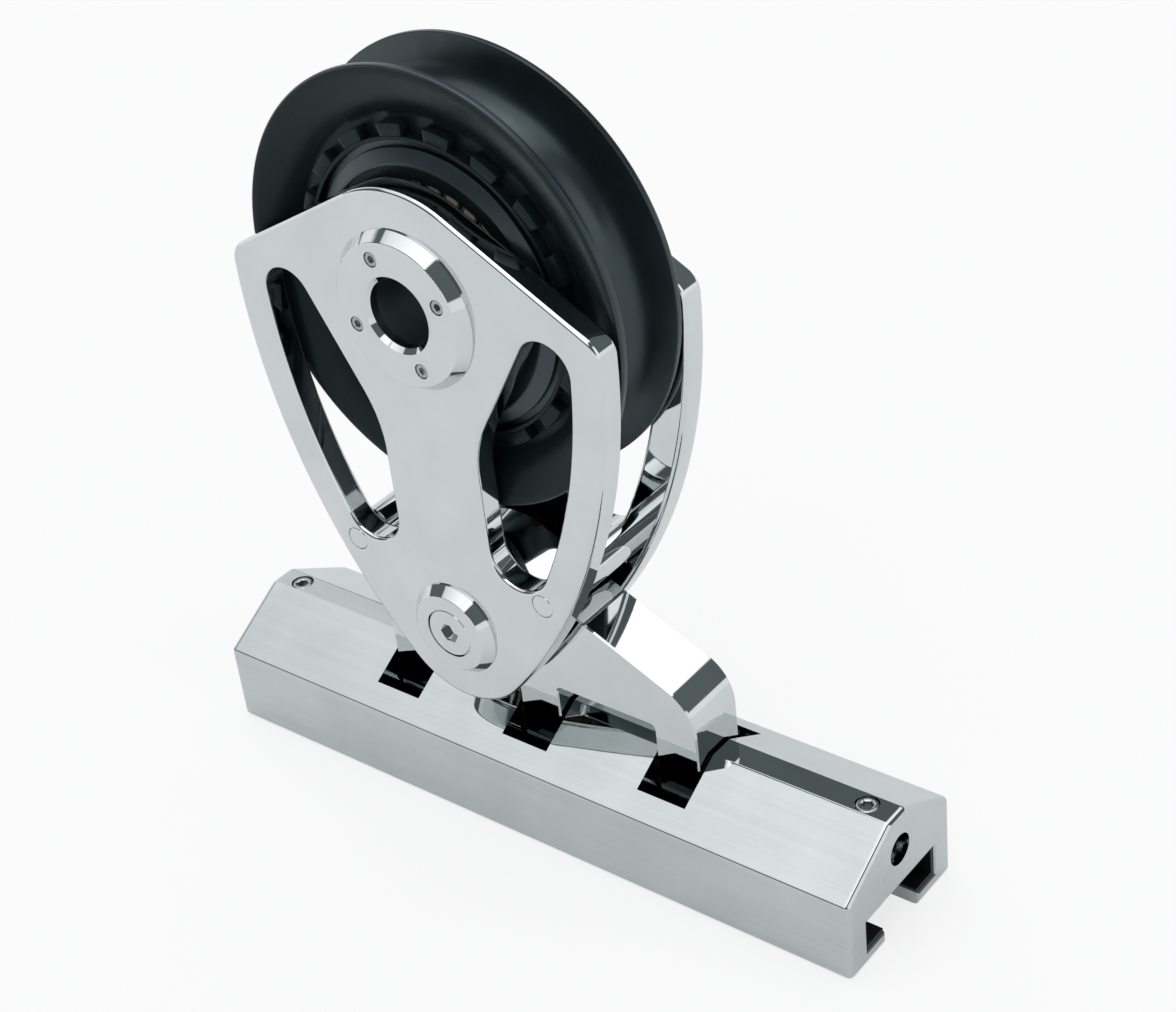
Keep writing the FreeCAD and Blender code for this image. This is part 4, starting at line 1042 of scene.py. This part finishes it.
@dataclass(frozen=True)
class RollerSet:
    """Two rows of rollers between the races, each with softened rims and a shallow cut end,
    coloured pale as a painted highlight.

    Attributes:
        centre: Middle of the bearing.
        pitch: Radius of the circle that the rollers stand on.
        radius: Radius of a roller.
        start: Distance of a roller's inner end from the middle plane.
        end: Distance of its outer end from the middle plane.
        count: Rollers in a row.
        rim: Softening of a roller's rims.
        land: Width of the ring round the cut end.
        dip: Depth of the cut end.
        facets: Facets round a roller.
    """

    centre: Point = AXLE
    pitch: float = 0.0376
    radius: float = 0.0033
    start: float = 0.0021
    end: float = 0.0127
    count: int = 31
    rim: float = 0.0004
    land: float = 0.0007
    dip: float = 0.0003
    facets: int = 24

    def build(self, side: Finish, cut: Finish) -> Piece:
        """Makes all rollers as one piece.

        Args:
            side: Finish of the running surfaces.
            cut: Finish of the cut ends, pale as a painted highlight.

        Returns:
            The piece, which rides on the cage.
        """
        first = self._roller(side, cut)
        middle = Matrix.Translation(self.centre)
        parts = []
        for number in range(self.count):
            turn = Matrix.Rotation(2 * math.pi * number / self.count, 4, "Y")
            parts.append(placed_copy(first, middle @ turn))
            parts.append(placed_copy(first, middle @ turn @ Matrix.Rotation(math.pi, 4, "X")))
        bpy.data.objects.remove(first)
        rows = join_all(parts)
        return finish_piece(rows, "roller_rows", "rollers", "cage_group")

    def _roller(self, side: Finish, cut: Finish) -> Piece:
        """Models one roller of the far row beside the middle of the bearing.

        Args:
            side: Finish of the running surface.
            cut: Finish of the cut ends, pale as a painted highlight.

        Returns:
            The roller, its place in its mesh.
        """
        deselect_all()
        bpy.ops.mesh.primitive_cylinder_add(
            vertices=self.facets,
            radius=self.radius,
            depth=self.end - self.start,
            location=(self.pitch, (self.start + self.end) / 2, 0.0),
            rotation=(math.pi / 2, 0.0, 0.0),
        )
        roller = bpy.context.object
        bpy.ops.object.transform_apply(location=True, rotation=True, scale=True)
        roller.data.materials.append(side.material())
        roller.data.materials.append(cut.material())
        bpy.ops.object.mode_set(mode="EDIT")
        bpy.ops.mesh.select_mode(type="FACE")
        self._select_ends(roller)
        bpy.ops.mesh.bevel(offset=self.rim, segments=2, affect="EDGES")
        self._select_ends(roller)
        bpy.ops.mesh.inset(thickness=self.land, use_individual=True)
        bpy.ops.transform.shrink_fatten(value=-self.dip)
        # The cut ends take the pale finish, a painted highlight.
        roller.active_material_index = 1
        bpy.ops.object.material_slot_assign()
        bpy.ops.object.mode_set(mode="OBJECT")
        bpy.ops.object.shade_smooth_by_angle(angle=math.radians(35.0))
        return roller

    def _select_ends(self, roller: Piece) -> None:
        """Selects the two end faces.

        Args:
            roller: The roller, in edit mode.
        """
        bpy.ops.mesh.select_all(action="DESELECT")
        mesh = bmesh.from_edit_mesh(roller.data)
        for face in mesh.faces:
            face.select = len(face.verts) > ROUND_FACE and abs(face.normal.y) > FACING
        bmesh.update_edit_mesh(roller.data)


@dataclass(frozen=True)
class Softbox:
    """A flat soft light far from the object, as polished metal shows it.

    Attributes:
        facing: Direction from the object to the panel.
        across: Direction of the panel's width.
        rise: Direction of the panel's height.
        width: Start and end of the panel across, as shares of its distance.
        height: Start and end of the panel along its height, as shares of its distance.
        level: Brightness at the start and at the end of the width.
        edge: Half the width of its soft edge, as a share of its distance.
        nearest: Least part of a direction that has to point towards the panel for it to show.
    """

    facing: Point
    across: Point
    rise: Point
    width: tuple[float, float]
    height: tuple[float, float]
    level: tuple[float, float]
    edge: float = 0.05
    nearest: float = 0.02

    def shade(self, tree: Tree, way: Socket) -> Socket:
        """Draws the panel on the sky.

        Args:
            tree: Node tree of the world.
            way: Direction that is looked along.

        Returns:
            Brightness of the panel in that direction, nothing beside it.
        """
        part_of = {"operation": "DOT_PRODUCT"}
        ahead, aside, above = (
            add_node(tree, VECTOR_MATH, part_of, {0: way, 1: axis}).outputs["Value"]
            for axis in (self.facing, self.across, self.rise)
        )
        depth = add_node(tree, MATH, LARGER, {0: ahead, 1: self.nearest}).outputs[0]
        over = add_node(tree, MATH, SHARE_OF, {0: aside, 1: depth}).outputs[0]
        up = add_node(tree, MATH, SHARE_OF, {0: above, 1: depth}).outputs[0]
        shown = add_node(tree, MATH, ABOVE, {0: ahead, 1: self.nearest}).outputs[0]
        for share, reach in ((over, self.width), (up, self.height)):
            for limit, before, after in ((reach[0], 0.0, 1.0), (reach[1], 1.0, 0.0)):
                border = {
                    "Value": share,
                    "From Min": limit - self.edge,
                    "From Max": limit + self.edge,
                    "To Min": before,
                    "To Max": after,
                }
                fade = add_node(tree, MAP_RANGE, SOFT_STEP, border).outputs[0]
                shown = add_node(tree, MATH, TIMES, {0: shown, 1: fade}).outputs[0]
        slope = {
            "Value": over,
            "From Min": self.width[0],
            "From Max": self.width[1],
            "To Min": self.level[0],
            "To Max": self.level[1],
        }
        glow = add_node(tree, MAP_RANGE, None, slope).outputs[0]
        return add_node(tree, MATH, TIMES, {0: shown, 1: glow}).outputs[0]


UP: Point = (0.0, 0.0, 1.0)
LEFT: Point = (-1.0, 0.0, 0.0)
RIGHT: Point = (1.0, 0.0, 0.0)
DEEP: Point = (0.0, 1.0, 0.0)


@dataclass(frozen=True)
class Studio:
    """Floor, soft lights and the room round them.

    Attributes:
        floor_half: Half the side of the floor.
        paper: sRGB colour of the floor's paper.
        glow: How much of the floor's own white the camera sees.
        glow_in_metal: How much of it polished metal and anything clear show.
        room: sRGB colour of the room between the lights.
        backdrop_top: Sine of the height up to which the white backdrop stands.
        backdrop_edge: Half the width of its soft upper edge.
        lights: The soft lights.
    """

    floor_half: float = 6.0
    paper: str = "#F4F5F5"
    glow: float = 0.78
    glow_in_metal: float = 0.18
    room: str = "#636B6C"
    backdrop_top: float = 0.18
    backdrop_edge: float = 0.02
    lights: tuple[Softbox, ...] = (
        # A broad ceiling that grows brighter to the right, and its strong middle.
        Softbox(UP, RIGHT, DEEP, (-1.12, 0.42), (-0.97, 0.88), (0.90, 1.75)),
        Softbox(UP, RIGHT, DEEP, (-0.34, 0.30), (-0.34, 0.34), (2.3, 2.3), edge=0.1),
        # A narrower panel high in front.
        Softbox(UP, RIGHT, DEEP, (-0.12, 0.47), (-1.40, -0.93), (1.5, 1.6)),
        # Panels at the left and at the right.
        Softbox(LEFT, DEEP, UP, (-0.10, 1.05), (0.22, 1.02), (1.05, 0.85), edge=0.06),
        Softbox(RIGHT, DEEP, UP, (-0.45, 0.60), (0.0, 1.15), (1.2, 1.2), edge=0.06),
    )

    def build(self) -> None:
        """Sets up the whole studio."""
        self._floor()
        self._world()

    def _seen(self, tree: Tree) -> Socket:
        """Tells how much of the floor's white a ray shows.

        Args:
            tree: Node tree of the floor.

        Returns:
            The share for camera rays, less for glossy and transmission rays, nothing for others.
        """
        rays = add_node(tree, "ShaderNodeLightPath").outputs
        shown = add_node(tree, MATH, TIMES, {0: rays["Is Camera Ray"], 1: self.glow}).outputs[0]
        for ray in ("Is Glossy Ray", "Is Transmission Ray"):
            part = add_node(tree, MATH, TIMES, {0: rays[ray], 1: self.glow_in_metal}).outputs[0]
            shown = add_node(tree, MATH, LARGER, {0: shown, 1: part}).outputs[0]
        return shown

    def _floor(self) -> None:
        """Lays the pale floor, which adds a white of its own and keeps the object's shadow."""
        deselect_all()
        bpy.ops.mesh.primitive_plane_add(size=2 * self.floor_half, location=(0.0, 0.0, 0.0))
        floor = bpy.context.object
        floor.name = "floor"
        material = bpy.data.materials.new("floor_paper_white")
        material.use_nodes = True
        tree = material.node_tree
        tree.nodes.clear()
        paper = add_node(tree, "ShaderNodeBsdfDiffuse", None, {"Color": linear(self.paper)})
        white = add_node(tree, "ShaderNodeEmission", None, {"Color": linear(WHITE)})
        shares = {0: self._seen(tree), 1: paper.outputs[0], 2: white.outputs[0]}
        mix = add_node(tree, "ShaderNodeMixShader", None, shares).outputs[0]
        add_node(tree, "ShaderNodeOutputMaterial", None, {"Surface": mix})
        floor.data.materials.append(material)

    def _world(self) -> None:
        """Surrounds the object with a white backdrop at its foot and soft lights in a dim room."""
        world = bpy.data.worlds.new("studio_room")
        world.use_nodes = True
        tree = world.node_tree
        tree.nodes.clear()
        way = add_node(tree, "ShaderNodeTexCoord").outputs["Generated"]
        first, *others = (light.shade(tree, way) for light in self.lights)
        level = first
        for other in others:
            level = add_node(tree, MATH, LARGER, {0: level, 1: other}).outputs[0]
        dim = linear(self.room)[:3]
        lit = add_node(tree, VECTOR_MATH, LARGER, {0: level, 1: dim}).outputs[0]
        backdrop = {
            "Value": add_node(tree, "ShaderNodeSeparateXYZ", None, {0: way}).outputs["Z"],
            "From Min": self.backdrop_top - self.backdrop_edge,
            "From Max": self.backdrop_top + self.backdrop_edge,
            "To Min": 1.0,
            "To Max": 0.0,
        }
        wall = add_node(tree, MAP_RANGE, SOFT_STEP, backdrop).outputs[0]
        camera = add_node(tree, "ShaderNodeLightPath").outputs["Is Camera Ray"]
        white = add_node(tree, MATH, LARGER, {0: wall, 1: camera}).outputs[0]
        shares = {0: white, 6: lit, 7: linear(WHITE)}
        mix = add_node(tree, "ShaderNodeMix", {"data_type": "RGBA"}, shares).outputs[2]
        back = add_node(tree, "ShaderNodeBackground", None, {"Color": mix, "Strength": 1.0})
        add_node(tree, "ShaderNodeOutputWorld", None, {"Surface": back.outputs[0]})
        bpy.context.scene.world = world


@dataclass(frozen=True)
class Viewpoint:
    """The camera of the photograph.

    Attributes:
        place: Where the camera stands.
        right: Direction of the picture's right side.
        down: Direction of the picture's lower side.
        lens_mm: Focal length.
        sensor_mm: Width of the sensor.
        clip: Nearest and furthest distance that it shows.
    """

    place: Point = (0.45701, -0.49788, 0.56284)
    right: Point = (0.791010, 0.603732, -0.099050)
    down: Point = (0.265584, -0.484697, -0.833387)
    lens_mm: float = 70.27
    sensor_mm: float = 36.0
    clip: tuple[float, float] = (0.01, 50.0)

    def build(self) -> None:
        """Sets up the camera."""
        data = bpy.data.cameras.new("viewpoint")
        data.lens = self.lens_mm
        data.sensor_width = self.sensor_mm
        data.clip_start, data.clip_end = self.clip
        camera = bpy.data.objects.new("viewpoint", data)
        bpy.context.scene.collection.objects.link(camera)
        right = Vector(self.right).normalized()
        down = Vector(self.down)
        down = (down - down.dot(right) * right).normalized()
        back = right.cross(-down)
        turn = Matrix((right, -down, back)).transposed()
        camera.matrix_world = Matrix.Translation(self.place) @ turn.to_4x4()
        bpy.context.scene.camera = camera


def main() -> None:
    """Dresses the frame, builds the new pieces and the studio, and reports each piece."""
    logging.basicConfig(level=logging.INFO, format="%(name)s: %(message)s")
    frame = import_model()
    bpy.context.scene.view_settings.view_transform = "Standard"
    for group in GROUPS:
        group.dress(frame)
    made = (
        Sheave().build(ANODISED, FINE_ANODISED),
        RollerSet().build(BROWN_RESIN, PAINTED_HIGHLIGHT_RESIN),
        CapScrews(Side.NEAR).build(SCREW_STEEL),
        CapScrews(Side.FAR).build(SCREW_STEEL),
        LockScrew(End.LEFT).build(SCREW_STEEL),
        LockScrew(End.RIGHT).build(SCREW_STEEL),
    )
    for piece in made:
        LOG.info("%s with %d faces", piece.name, len(piece.data.polygons))
    Studio().build()
    Viewpoint().build()


if __name__ == "__main__":
    main()
